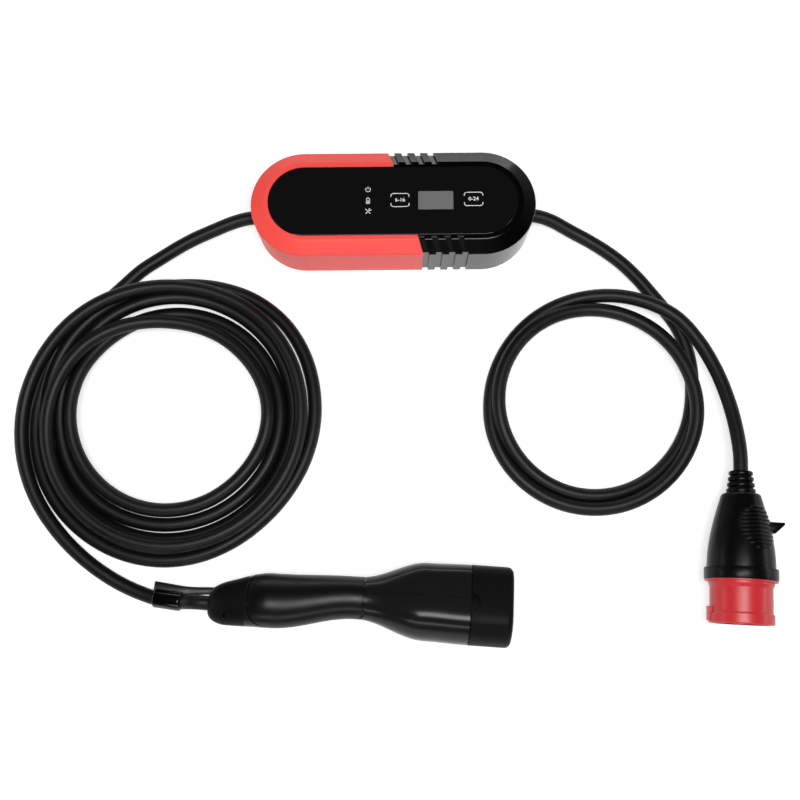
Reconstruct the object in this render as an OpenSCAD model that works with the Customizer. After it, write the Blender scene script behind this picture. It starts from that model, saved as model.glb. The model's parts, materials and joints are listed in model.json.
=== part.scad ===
// Portable charger for electric cars: a control box with a glossy panel, a coiled cable to
// the car with a seven-contact connector, and a looped supply cable with a five-pin plug.
// Origin: under the middle of the control box, on the floor. +X along the box, +Z up.

/* [Control box] */
// Length over the round ends
box_len = 280; // [250:1:310]
// Width across the shoulder, where the box is widest
box_w = 106; // [100:1:112]
// Height of the panel's face
box_h = 58; // [55:0.5:66]
// Height of the shoulder
shoulder_h = 50.5; // [47:0.5:52]
// How far the wall leans in at the floor
wall_draft = 1.5; // [0.5:0.1:2.5]
// Thickness of the covers' walls
wall_t = 5; // [4.6:0.1:6]
// Thickness of the skirt round the base plate
skirt_t = 3.8; // [3.4:0.1:4.2]
// Rounding of the shoulder
shoulder_r = 1.6; // [0.5:0.1:2]
// Rounding of the rim's outer edge
rim_r = 2.5; // [0.5:0.1:3]

/* [Split and grooves] */
// Where the red and the black cover meet, on the box's middle line
split_x = 12; // [0:1:20]
// Slant of that joint, seen from above
split_angle = 17.5; // [10:0.5:22]
// Number of grip grooves on each long side
groove_count = 4; // [2:1:5]
// Width of a groove
groove_w = 6; // [4:0.2:7]
// Width of the rib between two grooves
rib_w = 6.8; // [5:0.2:8]
// Depth of a groove
groove_depth = 2.6; // [1.5:0.1:2.8]
// Lip of the rim that the grooves leave beside the panel
groove_lip = 1.4; // [1:0.1:2]

/* [Panel] */
// Width of the glossy panel
panel_w = 70.6; // [68:0.2:74]
// Thickness of the panel
panel_t = 2.6; // [2:0.1:3]
// Flat rim of the covers round the panel
rim_w = 4.6; // [4:0.1:6]
// Width of the ledge under the panel's edge
ledge_w = 5; // [4:0.1:6]
// Thickness of that ledge
ledge_t = 2.4; // [2:0.1:3]
// Width of the display window
display_w = 34.4; // [30:0.2:38]
// Depth of the display window
display_d = 19; // [16:0.2:22]
// Middle of the display along the box
display_x = 41.5; // [38:0.5:45]
// Distance of each touch key from the display's middle
key_pitch = 36; // [32:0.5:38]
// Place of the row of status lamps along the box
lamp_x = -24.5; // [-40:0.5:-20]
// Spacing of the status lamps
lamp_pitch = 11.4; // [9:0.2:13]
// Diameter of a status lamp
lamp_d = 3; // [2:0.2:4]
// Diameter of a touch spring
touch_d = 9; // [6:0.5:11]

/* [Base and fastenings] */
// Thickness of the base plate
base_t = 3; // [2.6:0.1:4]
// Thickness of the seal on the base plate's edge
seal_t = 2; // [1.5:0.1:2.5]
// Width of that seal
seal_w = 3; // [2.5:0.1:3.2]
// Diameter of the screws in the control box
screw_d = 3; // [2.5:0.1:3.4]
// Length of the screws in the base plate
screw_len = 16; // [12:1:22]
// Diameter of the screw bosses under the covers
boss_d = 8; // [7:0.2:9]
// Play of pieces that sit in one another
fit = 0.2; // [0.1:0.05:0.3]

/* [Circuit boards] */
// Length of the power board
power_len = 150; // [140:1:156]
// Width of the power board
power_w = 62; // [58:1:64]
// Thickness of the boards
board_t = 1.6; // [1.2:0.1:2.4]
// Height of the posts under the power board
post_h = 6; // [4:0.5:8]
// Diameter of those posts
post_d = 7; // [6:0.5:8]
// Length of the control board
control_len = 172; // [168:1:176]
// Width of the control board
control_w = 52; // [46:1:56]
// Space between the control board and the panel
control_gap = 6.8; // [5:0.2:8]
// Length of a relay
relay_len = 29; // [26:0.5:32]
// Width of a relay
relay_w = 12.6; // [10:0.2:13.4]
// Height of a relay
relay_h = 25; // [18:0.5:28]
// Outer diameter of the leakage sensor's ring
sensor_d = 27; // [22:0.5:29]
// Hole of the leakage sensor's ring
sensor_hole = 14; // [10:0.5:16]
// Thickness of the leakage sensor's ring
sensor_t = 12; // [8:0.5:14]
// Length of the low-voltage supply
supply_len = 38; // [30:0.5:42]
// Width of the low-voltage supply
supply_w = 23; // [18:0.5:26]
// Height of the low-voltage supply
supply_h = 18; // [14:0.5:24]
// Pitch of the wire clamps in a terminal block
terminal_pitch = 9; // [7.5:0.1:9.6]
// Length of a terminal block
terminal_len = 12; // [10:0.5:14]
// Height of a terminal block
terminal_h = 15; // [12:0.5:18]

/* [Cables] */
// Diameter of both cables
cable_d = 13.6; // [12:0.1:14.4]
// Height of the cables where they leave the box
exit_h = 16; // [14:0.5:20]
// Rubber round the cable in the box's wall
grommet_t = 2.2; // [1.6:0.1:3]
// Length of a cable clamp
clamp_len = 10; // [8:0.5:12]
// Inner radius of the coil of the car's cable
coil_in = 86; // [80:1:90]
// Outer radius of that coil
coil_out = 146; // [140:1:152]
// Height of that coil
coil_h = 30; // [20:1:40]
// Inner radius of the supply cable's loop
loop_in = 87; // [80:1:92]
// Outer radius of that loop
loop_out = 111; // [108:1:116]
// Height of that loop
loop_h = 27.4; // [20:0.2:32]
// Rounding of both coils' edges
coil_r = 6; // [2:0.5:9]

/* [Connector] */
// Width of the head and of the protective cap
head_w = 73.2; // [68:0.2:78]
// Height of the head's flattened top over its axis
head_top = 31; // [28:0.2:33]
// Length of the head
head_len = 97; // [90:1:110]
// Length of the head's full-width front
front_len = 40; // [34:1:50]
// How much the head widens along that front
front_swell = 2; // [0:0.1:2.2]
// Width of the handle's waist
waist_w = 39; // [36:0.2:44]
// Height of the handle's waist
waist_h = 37; // [35:0.2:42]
// Width of the grip's swell
grip_w = 50.8; // [46:0.2:54]
// Height of the grip's swell
grip_h = 42; // [40:0.2:46]
// Length of the soft grip
grip_len = 108; // [100:1:120]
// Thickness of the soft grip
grip_t = 3.4; // [2.5:0.1:4]
// Length of the tail piece
tail_len = 37; // [30:1:42]
// Width of the tail piece at its end
tail_w = 39; // [34:0.2:42]
// Height of the tail piece at its end
tail_h = 33; // [30:0.2:36]
// How far the tail lies under the head's axis
tail_drop = 19.5; // [14:0.5:20]
// How far the grip's swell lies under the head's axis
grip_drop = 6.5; // [3:0.5:9]
// How far the tail lies to the side of the head's axis
tail_side = 9.6; // [0:0.2:12]
// How far the grip's swell lies to the side of the head's axis
grip_side = 7.2; // [0:0.2:9]
// Wall of the connector's shells
shell_t = 3; // [2.5:0.1:3.4]
// Length of the collar in front of the head
collar_len = 36; // [32:0.5:38]
// Wall of the collar
collar_t = 3; // [2.4:0.1:3.4]
// Gap round the contact carrier
carrier_gap = 5.2; // [4.4:0.1:6]
// Inner diameter of the power contacts
power_contact_d = 6; // [5.5:0.1:6.4]
// Inner diameter of the signal contacts
signal_contact_d = 3; // [2.6:0.1:3.2]
// Wall of a contact
contact_t = 1.2; // [0.9:0.1:1.3]
// Length of the protective cap
cap_len = 38.6; // [38:0.2:44]
// Rounding of the cap's front edge
cap_r = 5; // [2:0.5:7]
// Play between the cap and the collar
cap_play = 0.35; // [0.25:0.05:0.5]
// Radius of the finger notch in the cap's rear edge
notch_r = 8.2; // [6:0.2:10]
// Width of the seams between the connector's pieces
seam = 0.3; // [0.1:0.05:0.5]
// Roll of the connector as it lies
connector_roll = -17; // [-25:1:0]
// Turn of the connector on the floor
connector_yaw = -4.5; // [-6:0.5:6]

/* [Cap tether] */
// Wall of the sleeve on the cable
sleeve_t = 1.7; // [1.2:0.1:2.4]
// Width of the strap
strap_w = 7; // [5:0.2:8]
// Thickness of the strap
strap_t = 2.4; // [1.6:0.1:3]

/* [Supply plug] */
// Diameter of the flange between body and shroud
flange_d = 67.2; // [64:0.2:70]
// Length of the flange
flange_len = 11; // [9:0.5:13]
// Diameter of the body behind the flange
body_d = 62.2; // [60:0.2:63]
// Diameter of the body's rear end
body_rear_d = 36.4; // [34:0.2:40]
// Length of the body behind the flange
body_len = 69; // [60:0.5:76]
// Wall of the body
body_t = 3; // [2.5:0.1:3.5]
// Diameter of the red shroud
shroud_d = 56.8; // [55:0.2:58]
// Wall of the shroud
shroud_t = 2.7; // [2.2:0.1:3]
// Length of the shroud in front of the flange
shroud_len = 40; // [36:0.5:46]
// Diameter of the shroud's front lip
lip_d = 59.6; // [58.4:0.2:62]
// Length of that lip
lip_len = 9; // [7:0.5:11]
// Thickness of the pin carrier
carrier_t = 14; // [11:0.5:16]
// Circle that the pins stand on
pin_circle_d = 34; // [31:0.5:36]
// Diameter of the line and neutral pins
line_pin_d = 5; // [4.5:0.1:5.4]
// Diameter of the earth pin
earth_pin_d = 7; // [6.6:0.1:7.4]
// Length of the pins in front of their carrier
pin_len = 35; // [32:0.5:36]
// How much thinner a pin is inside its carrier
pin_step = 1; // [0.6:0.1:1.6]
// Length of the ribbed boot
boot_len = 22; // [18:0.5:28]
// Wall of the boot at its rear end
boot_t = 4.2; // [3:0.1:5]
// Number of rings on the boot
boot_rings = 4; // [3:1:6]
// Number of grip ridges on each side of the body
ridge_count = 10; // [6:1:12]
// Diameter of the round patch of ridges
ridge_patch_d = 43; // [36:1:46]
// Height of the ridges
ridge_h = 0.9; // [0.5:0.1:1.4]
// Turn of the plug on the floor
plug_yaw = -3.9; // [-8:0.2:8]

/* [Hidden] */
$fn = 64;
far = 400;
cable_r = cable_d / 2;

// Control box: radii are measured from the line between the two round ends' axes
half_w = box_w / 2;
spine = box_len - box_w;
panel_r = panel_w / 2;
rim_out = panel_r + rim_w;
slope = (box_h - shoulder_h) / (half_w - rim_out);
rebate_r = half_w - wall_draft - skirt_t;
cavity_r = half_w - wall_draft - wall_t;
seat_h = base_t + seal_t;
panel_z = box_h - panel_t;
panel_cut = 0.6;
ceil_h = panel_z - ledge_t;
bevel_drop = wall_t * sqrt(1 + slope * slope);
ceil_r = half_w - (ceil_h - shoulder_h + bevel_drop) / slope;
base_r = rebate_r - fit;
boss_gap = 2;
boss_r = base_r - seal_w - boss_d / 2 - boss_gap;
boss_turn = 40;
boss_from_split = 50;
boss_len = ceil_h - base_t;
screw_head_d = 2.1 * screw_d;
screw_head_h = 0.55 * screw_d;
pan_head_d = 1.9 * screw_d;
pan_head_h = 0.6 * screw_d;
screw_gap = 1;
aperture_w = panel_w - 2 * ledge_w;
tan_split = tan(split_angle);
groove_pitch = groove_w + rib_w;

// Boards and what stands on them
power_z = base_t + post_h;
power_top = power_z + board_t;
post_inset = 5;
power_post = [power_len / 2 - post_inset, power_w / 2 - post_inset];
control_z = panel_z - control_gap - board_t;
control_post = [control_len / 2 - post_inset - 1, control_w / 2 - post_inset - 1];
terminal_poles = 5;
terminal_edge = 1;
terminal_inset = 10;
terminal_w = terminal_poles * terminal_pitch + 2 * terminal_edge;
terminal_x = power_len / 2 - terminal_inset - terminal_len / 2;
relay_gap = 2;
relay_at = [-20, 1.5];
sensor_x = -30;
supply_x = 12;
supply_inset = 2;
supply_y = -power_w / 2 + supply_inset + supply_w / 2;
display_frame = 3;
lamp_foot_w = 0.8;
lamp_foot_h = 1.2;
touch_t = 0.8;
sensor_z = power_top + sensor_d / 2;
clamp_inset = 25;
clamp_x = box_len / 2 - clamp_inset;
clamp_ear = 10;
clamp_t = 3.5;
clamp_w = cable_d + 2 * clamp_ear;
clamp_screw_y = cable_r + clamp_ear / 2;
clamp_top = exit_h + cable_r + clamp_t;
clamp_floor = 2;
grommet_r = cable_r + grommet_t;
grommet_flange = 3;
grommet_flange_h = 2;
grommet_proud = 0.8;
grommet_in = spine / 2 + cavity_r;
grommet_out = spine / 2 + half_w - wall_draft + grommet_proud;
cable_inside = 12;

// Coils on the floor
coil_at = [-220, -206.5];
loop_at = [194.5, -194];

// Connector: its own x runs along the head's axis, with 0 at the seam of head and cap
head_r = head_w / 2;
connector_at = [67, -387.4, head_r];
tail_x = -(head_len + grip_len + tail_len);
grip_x = -(head_len + grip_len);
grip_places = [for (i = [0 : 10]) lerp(grip_x, -head_len - seam, i / 10)];
swell_from_tail = 22;
swell_x = grip_x + swell_from_tail;
waist_from_head = 5.5;
waist_x = -head_len - waist_from_head;
waist_side = 1;
collar_seat = 20;
collar_a = shell_t + fit + front_swell / 2;
collar_b = collar_a + collar_t;
carrier_a = collar_b + carrier_gap;
carrier_plate = 6;
carrier_recess = 4;
carrier_front = collar_len - carrier_recess;
contact_rear = 12;
contact_solid = 14;
power_recess = 2;
signal_recess = 6;
notch_side = 6.6;
tail_round = 10;
tail_round_in = 8;
ring_n = 40;
d_power = 10;
// Where the contacts stand on the carrier: y and z from the head's axis
power_places = [[0, 0], [-16, 0], [16, 0], [-8.5, -15], [8.5, -15]];
signal_places = [[-8, 13], [8, 13]];

// Plug: its own axis runs from the boot's end to the mouth
plug_at = [326.5, -265.5, flange_d / 2];
body_s = boot_len;
flange_s = body_s + body_len;
face_s = flange_s + flange_len;
mouth_s = face_s + shroud_len;
seal_s = 1;
carrier_proud = 2;
spigot_step = 1.2;
spigot_t = 2.2;
spigot_r = shroud_d / 2 - spigot_step;
carrier_r = spigot_r - spigot_t;
bore_r = shroud_d / 2 - shroud_t;
boot_r = cable_r + boot_t;
boot_spigot = 6;
boot_spigot_r = boot_r - 1.4;
boot_taper = 3.2;
boot_neck = 1.2;
body_edge = 1.2;
edge_cut = 1;
spigot_floor = body_s + boot_spigot + 1;
carrier_s = face_s - carrier_t;
inner_r = spigot_r - 5;
pin_rear = 8;
ridge_turn = -35;
ridge_place = 0.42;
sunk = 0.5;
hook_s = 25;
hook_w = 14;
hook_reach = 8;
hook_tip = 2;
hook_len = 10.5;
key_w = 7;
key_len = 13;
key_proud = 1.4;
key_back = 2;
step_len = 3.5;
step_slope = 1.5;

// Connector sections at their turning points: place along the axis, height of the middle,
// half width, height over the middle, depth under it, how flat the top is, and sideways place
stations = [
    [tail_x, -tail_drop, tail_w / 2, tail_h / 2, tail_h / 2, 0, -tail_side],
    [swell_x, -grip_drop, grip_w / 2, grip_h / 2, grip_h / 2, 0, -grip_side],
    [waist_x, 0, waist_w / 2, waist_h / 2, waist_h / 2, 0, -waist_side],
    [-front_len, 0, head_r - front_swell / 2, head_top, head_r - front_swell / 2, 1, 0],
    [0, 0, head_r, head_top, head_r, 1, 0]];

// The tether's sleeve on the cable, from one end to the other
sleeve_from = [-229, -377.6, 8.6];
sleeve_to = [-203, -381.6, 12];
sleeve_way = sleeve_to - sleeve_from;
sleeve_len = norm(sleeve_way);

// Routes of the cables, as they lie on the floor
lie = cable_r + 0.2;
cable_straight = 13;
vehicle_lead_route = [
    [-clamp_x + cable_inside, 0, exit_h], [-box_len / 2 - 4, 0, exit_h], [-160, -4, 13.5],
    [-180, -11.7, 9], [-205, -22.8, lie], [-235, -40.6, lie], [-255, -54, lie], [-270, -68, lie],
    [-284, -84, lie]];
vehicle_tail_route = concat(
    [[-348, -277.5, lie], [-334.9, -299.6, lie], [-318.5, -320.2, lie], [-299, -339.1, lie],
     [-276.3, -355.9, lie], [-258.5, -366, lie], [-243.5, -372.6, lie + 0.2]],
    [sleeve_from, sleeve_to],
    [for (x = [tail_x - cable_straight, tail_x, tail_x + tail_len / 2, grip_x, grip_x + cable_straight])
        let (s = station(max(x, tail_x))) laid([x, s[6], s[1]])]);
supply_lead_route = [
    [clamp_x - cable_inside, 0, exit_h], [box_len / 2 + 4, 0, exit_h], [160, -5.4, 13.5],
    [178, -14.5, 9], [197, -24.7, lie], [213.6, -35.7, lie], [229.5, -48.6, lie], [244.5, -64.5, lie],
    [257.6, -81.3, lie], [270, -98, lie], [281, -115, lie], [289, -134, lie]];
supply_tail_route = concat(
    [[231, -90, 15], [253, -96.5, 19.5], [277, -109.6, 21.2], [297.4, -133.4, 21.4],
     [312.6, -163.4, 22.5], [322.2, -196.6, 26], [326.6, -228, 30.4]],
    [for (s = [-cable_straight, 0, boot_len, boot_len + boot_spigot + cable_straight]) plugged(s)]);
strap_route = [
    [-228.5, -368.8, 8.8], [-200.5, -371.6, 9.4], [-178, -371.4, 4], [-140, -371, 2.2], [-90, -371.5, 1.8],
    [-40, -371, 1.8], [-10, -368, 1.8], [15, -365.6, 1.8], [50, -366, 1.8], [68.5, -366.6, 1.8]];
// The cap's lug in front of the strap: distance from the head's axis, length, height, floor gap
lug_y = 20.8;
lug_len = 7;
lug_h = 7;
lug_side = 1;
lug_lift = 0.8;

function lerp(a, b, t) = a + (b - a) * t;
function unit(v) = v / norm(v);
function ease(t) = (1 - cos(180 * t)) / 2;

// Arc of radius r that rounds the corner b on the way from a to c
function corner(a, b, c, r, steps = 4) =
    let (u = unit(a - b), v = unit(c - b), half = acos(u * v) / 2,
         mid = b + unit(u + v) * r / sin(half),
         p = b + u * r / tan(half) - mid, q = b + v * r / tan(half) - mid)
    [for (i = [0 : steps]) mid + unit(lerp(p, q, i / steps)) * r];

// Places of the control box's screws: two in each round end and two beside the split
function end_bosses(side) =
    [for (turn = [-boss_turn, boss_turn])
        [side * (spine / 2 + boss_r * cos(turn)), boss_r * sin(turn)]];
red_bosses = concat(end_bosses(-1), [for (y = [-boss_r, boss_r]) [split_x - boss_from_split, y]]);
black_bosses = concat(end_bosses(1), [for (y = [-boss_r, boss_r]) [split_x + boss_from_split, y]]);
box_bosses = concat(red_bosses, black_bosses);
function mirrored(p) = [for (x = [-1, 1], y = [-1, 1]) [x * p[0], y * p[1]]];

// Half sections of the covers, as [distance from the spine, height]
outer_half = concat(
    [[0, 0], [half_w - wall_draft, 0]],
    corner([half_w - wall_draft, 0], [half_w, shoulder_h], [rim_out, box_h], shoulder_r),
    corner([half_w, shoulder_h], [rim_out, box_h], [0, box_h], rim_r),
    [[0, box_h]]);
cavity_half = [
    [0, -1], [rebate_r, -1], [rebate_r, seat_h], [cavity_r, seat_h],
    [cavity_r, shoulder_h - bevel_drop + (half_w - cavity_r) * slope],
    [ceil_r, ceil_h], [0, ceil_h]];
// What a groove leaves standing, on one side of the box
groove_section = [
    [far, -1], [far, far], [panel_r + groove_lip, far],
    [panel_r + groove_lip, box_h - groove_depth], [rim_out - groove_depth / 2, box_h - groove_depth],
    [half_w - groove_depth, shoulder_h - groove_depth / 2],
    [half_w - wall_draft - groove_depth, -1]];

// A solid of the half section along the spine, with round ends
module along_spine(half_section) {
    rotate([90, 0, 90]) linear_extrude(spine, center = true)
        polygon(concat(half_section,
            [for (i = [len(half_section) - 1 : -1 : 0])
                if (half_section[i][0] > 0) [-half_section[i][0], half_section[i][1]]]));
    for (side = [-1, 1]) translate([side * spine / 2, 0, 0]) rotate([0, 0, -90 * side])
        rotate_extrude(angle = 180) polygon(half_section);
}

// A slab with round ends about the same two axes
module slot(w, h) linear_extrude(h) {
    square([spine, w], center = true);
    for (side = [-1, 1]) translate([side * spine / 2, 0]) circle(d = w);
}

// Everything on one side of the slanted joint, side 1 for the black cover
module half_space(side, shift = 0) translate([0, 0, -far / 2]) linear_extrude(far)
    polygon([[split_x + shift - far * tan_split, far], [side * far * 2, far],
             [side * far * 2, -far], [split_x + shift + far * tan_split, -far]]);

module cover(side, bosses) difference() {
    union() {
        difference() {
            intersection() {
                along_spine(outer_half);
                half_space(side);
            }
            along_spine(cavity_half);
            translate([0, 0, panel_z]) slot(panel_w + 2 * fit, far);
            slot(aperture_w, far);
        }
        for (p = bosses) translate([p[0], p[1], base_t]) cylinder(d = boss_d, h = boss_len + ledge_t / 2);
    }
    for (p = bosses) translate([p[0], p[1], 0]) cylinder(d = screw_d + fit, h = base_t + screw_len);
    translate([side * far / 2, 0, exit_h]) rotate([0, 90, 0])
        cylinder(r = grommet_r + fit / 2, h = far - spine, center = true);
}

// One groove on both long sides; the first one opens to the joint
module groove(i) intersection() {
    half_space(1, i == 0 ? -groove_w : i * groove_pitch);
    half_space(-1, i * groove_pitch + groove_w);
    for (flip = [0, 1]) mirror([0, flip, 0]) rotate([90, 0, 90])
        linear_extrude(spine, center = true) polygon(groove_section);
}

module red_end_cover() color("#f0534c") cover(-1, red_bosses);

module black_end_cover() color("#26272a") difference() {
    cover(1, black_bosses);
    for (i = [0 : groove_count - 1]) groove(i);
}

module saddle() difference() {
    translate([-clamp_len / 2, -clamp_w / 2, base_t])
        cube([clamp_len, clamp_w, exit_h - fit - base_t]);
    translate([0, 0, exit_h]) rotate([0, 90, 0])
        cylinder(r = cable_r + fit / 2, h = far, center = true);
    for (y = [-1, 1]) translate([0, y * clamp_screw_y, base_t + clamp_floor])
        cylinder(d = screw_d + fit, h = exit_h);
}

module base_plate() color("#1f2022") {
    difference() {
        union() {
            slot(2 * base_r, base_t);
            for (p = mirrored(power_post)) translate([p[0], p[1], 0])
                cylinder(d = post_d, h = power_z);
        }
        for (p = box_bosses) translate([p[0], p[1], 0]) {
            translate([0, 0, -1]) cylinder(d = screw_d + 2 * fit, h = base_t + 2);
            cylinder(d1 = screw_head_d + 2 * fit, d2 = screw_d + 2 * fit, h = screw_head_h + fit);
        }
        for (p = mirrored(power_post)) translate([p[0], p[1], base_t / 2])
            cylinder(d = screw_d + fit, h = power_z);
    }
    for (side = [-1, 1]) translate([side * clamp_x, 0, 0]) saddle();
}

module base_seal() color("#3a3a3a") translate([0, 0, base_t]) difference() {
    slot(2 * base_r, seal_t);
    translate([0, 0, -1]) slot(2 * (base_r - seal_w), seal_t + 2);
}

module base_screws() color("silver") for (p = box_bosses) translate([p[0], p[1], fit]) {
    cylinder(d1 = screw_head_d, d2 = screw_d, h = screw_head_h);
    cylinder(d = screw_d, h = base_t + screw_len - 2 * fit - screw_gap);
}

module front_panel() color("#101113") difference() {
    union() {
        along_spine([[0, panel_z], [panel_w / 2, panel_z], [panel_w / 2, box_h - panel_cut],
                     [panel_w / 2 - panel_cut, box_h], [0, box_h]]);
        for (p = mirrored(control_post)) translate([p[0], p[1], control_z + board_t])
            cylinder(d = post_d, h = control_gap + panel_t / 2);
    }
    translate([display_x, 0, box_h]) cube([display_w + fit, display_d + fit, far], center = true);
    for (p = mirrored(control_post)) translate([p[0], p[1], 0])
        cylinder(d = screw_d + fit, h = panel_z);
}

module display_screen() color("#6c6c6c") translate([display_x, 0, control_z + board_t]) {
    translate([-display_w / 2 - display_frame, -display_d / 2 - display_frame, 0])
        cube([display_w + 2 * display_frame, display_d + 2 * display_frame, control_gap - fit]);
    translate([-display_w / 2 + fit / 2, -display_d / 2 + fit / 2, 0])
        cube([display_w - fit, display_d - fit, control_gap + panel_t - fit]);
}

// A board with a hole for each screw
module board(size, holes) difference() {
    translate([-size[0] / 2, -size[1] / 2, 0]) cube([size[0], size[1], board_t]);
    for (p = mirrored(holes)) translate([p[0], p[1], -1])
        cylinder(d = screw_d + 2 * fit, h = board_t + 2);
}

module control_board() color("#1d5a3a") translate([0, 0, control_z])
    board([control_len, control_w], control_post);

// A pan-head screw, its head on the plane z = 0 and its shank below
module pan_screw(len) {
    cylinder(d = pan_head_d, h = pan_head_h);
    translate([0, 0, -len]) cylinder(d = screw_d, h = len + pan_head_h / 2);
}

module control_screws() color("silver") for (p = mirrored(control_post))
    translate([p[0], p[1], control_z]) rotate([180, 0, 0]) pan_screw(control_gap + board_t - screw_gap);

module status_lamps() color("#d8e6d0") for (i = [-1 : 1])
    translate([lamp_x, i * lamp_pitch, control_z + board_t]) {
        cylinder(d = lamp_d, h = control_gap - fit);
        cylinder(d = lamp_d + 2 * lamp_foot_w, h = lamp_foot_h);
    }

module touch_springs() color("#c9b36a") for (side = [-1, 1])
    translate([display_x + side * key_pitch, 0, control_z + board_t]) difference() {
        cylinder(d = touch_d, h = control_gap - fit);
        translate([0, 0, touch_t]) cylinder(d = touch_d - 2 * touch_t, h = control_gap);
    }

module power_board() color("#1d5a3a") translate([0, 0, power_z])
    board([power_len, power_w], power_post);

module board_screws() color("silver") for (p = mirrored(power_post))
    translate([p[0], p[1], power_top]) pan_screw(board_t + post_h - screw_gap);

module power_relays() color("#2b2d33") for (i = [0 : 3])
    translate([relay_at[0] + (relay_len + relay_gap) * (i % 2),
               relay_at[1] + (relay_w + relay_gap) * floor(i / 2), power_top])
        cube([relay_len, relay_w, relay_h]);

module leakage_sensor() color("#30527a") translate([sensor_x, 0, sensor_z]) rotate([0, 90, 0])
    difference() {
        cylinder(d = sensor_d, h = sensor_t, center = true);
        cylinder(d = sensor_hole, h = sensor_t + 2, center = true);
    }

module supply_module() color("#17181a") translate([supply_x, supply_y, power_top])
    translate([-supply_len / 2, -supply_w / 2, 0]) cube([supply_len, supply_w, supply_h]);

// Row of wire clamps: each has a hole towards the cable and a screw well on top
module terminal_block() difference() {
    translate([-terminal_len / 2, -terminal_w / 2, 0]) cube([terminal_len, terminal_w, terminal_h]);
    for (i = [0 : terminal_poles - 1])
        translate([0, (i - (terminal_poles - 1) / 2) * terminal_pitch, 0]) {
            translate([0, 0, terminal_h * 0.35]) rotate([0, 90, 0])
                cylinder(d = terminal_pitch * 0.5, h = terminal_len);
            translate([0, 0, terminal_h * 0.6]) cylinder(d = terminal_pitch * 0.6, h = terminal_h);
        }
}

module terminal_blocks() color("#35506b") for (turn = [0, 180])
    rotate([0, 0, turn]) translate([terminal_x, 0, power_top]) terminal_block();

// Rubber bush: its flange stands inside the wall, and its neck fills the hole
module grommet() translate([0, 0, exit_h]) rotate([0, 90, 0]) difference() {
    union() {
        translate([0, 0, grommet_in - 2 * grommet_flange])
            cylinder(r = grommet_r + grommet_flange_h, h = grommet_flange);
        translate([0, 0, grommet_in - 2 * grommet_flange])
            cylinder(r = grommet_r, h = grommet_out - grommet_in + 2 * grommet_flange);
    }
    cylinder(r = cable_r + fit / 2, h = far);
}

module left_grommet() color("#1a1a1b") rotate([0, 0, 180]) grommet();

module right_grommet() color("#1a1a1b") grommet();

module cable_clamps() color("#2d2e30") for (side = [-1, 1]) translate([side * clamp_x, 0, 0])
    difference() {
        translate([-clamp_len / 2, -clamp_w / 2, exit_h + fit])
            cube([clamp_len, clamp_w, clamp_top - exit_h - fit]);
        translate([0, 0, exit_h]) rotate([0, 90, 0])
            cylinder(r = cable_r + fit / 2, h = far, center = true);
        for (y = [-1, 1]) translate([0, y * clamp_screw_y, 0])
            cylinder(d = screw_d + 2 * fit, h = far);
    }

module clamp_screws() color("silver") for (side = [-1, 1], y = [-1, 1])
    translate([side * clamp_x, y * clamp_screw_y, clamp_top])
        pan_screw(clamp_top - base_t - clamp_floor - screw_gap);

// A round tube through the points of a route, none of whose stretches is upright
module tube(route, r, sides = 10) {
    last = len(route) - 1;
    rings = [for (i = [0 : last])
        let (t = unit(route[min(i + 1, last)] - route[max(i - 1, 0)]),
             across = unit(cross([0, 0, 1], t)), up = cross(t, across))
        [for (j = [0 : sides - 1])
            route[i] + r * (across * cos(360 * j / sides) + up * sin(360 * j / sides))]];
    skin(rings);
}

// A closed solid through rings of points, each ring turning the same way round the route
module skin(rings) {
    n = len(rings[0]);
    last = len(rings) - 1;
    polyhedron(
        points = [for (ring = rings) each ring],
        faces = concat(
            [[for (j = [0 : n - 1]) j]],
            [for (i = [0 : last - 1], j = [0 : n - 1])
                let (k = (j + 1) % n, a = i * n, b = a + n)
                each [[a + j, b + j, b + k], [a + j, b + k, a + k]]],
            [[for (j = [n - 1 : -1 : 0]) last * n + j]]),
        convexity = 8);
}

// A wall between two skins: inner holds as many rings of as many points as outer.
// Closed rings make a sleeve, and open ones a half shell with two long edges.
module wall_skin(outer, inner, closed = true) {
    n = len(outer[0]);
    last = len(outer) - 1;
    o = n * len(outer);
    e = last * n;
    sides = closed ? n : n - 1;
    quads = concat(
        [for (j = [0 : sides - 1]) let (k = (j + 1) % n) each concat(
            [[j, k, o + k, o + j], [e + j, o + e + j, o + e + k, e + k]],
            [for (i = [0 : last - 1]) let (a = i * n, b = a + n) each [
                [a + j, b + j, b + k, a + k], [o + a + j, o + a + k, o + b + k, o + b + j]]])],
        closed ? [] : [for (i = [0 : last - 1]) let (a = i * n, b = a + n, k = n - 1) each [
            [a, o + a, o + b, b], [a + k, b + k, o + b + k, o + a + k]]]);
    polyhedron(
        points = concat([for (ring = outer) each ring], [for (ring = inner) each ring]),
        faces = [for (q = quads) each [[q[0], q[1], q[2]], [q[0], q[2], q[3]]]],
        convexity = 8);
}

// A flat ring of the outer shape of a coil of cable
module coil_ring(in, out, h) rotate_extrude() {
    translate([in + coil_r, 0]) square([out - in - 2 * coil_r, h]);
    translate([in, coil_r]) square([out - in, h - 2 * coil_r]);
    for (r = [in + coil_r, out - coil_r], z = [coil_r, h - coil_r])
        translate([r, z]) circle(coil_r);
}

module vehicle_cable_lead() color("#202124") tube(vehicle_lead_route, cable_r);

module vehicle_cable_coil() color("#202124") translate(coil_at) coil_ring(coil_in, coil_out, coil_h);

module vehicle_cable_tail() color("#202124") tube(vehicle_tail_route, cable_r);

module supply_cable_lead() color("#202124") tube(supply_lead_route, cable_r);

module supply_cable_loop() color("#202124") translate(loop_at) coil_ring(loop_in, loop_out, loop_h);

module supply_cable_tail() color("#202124") tube(supply_tail_route, cable_r);

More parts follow.
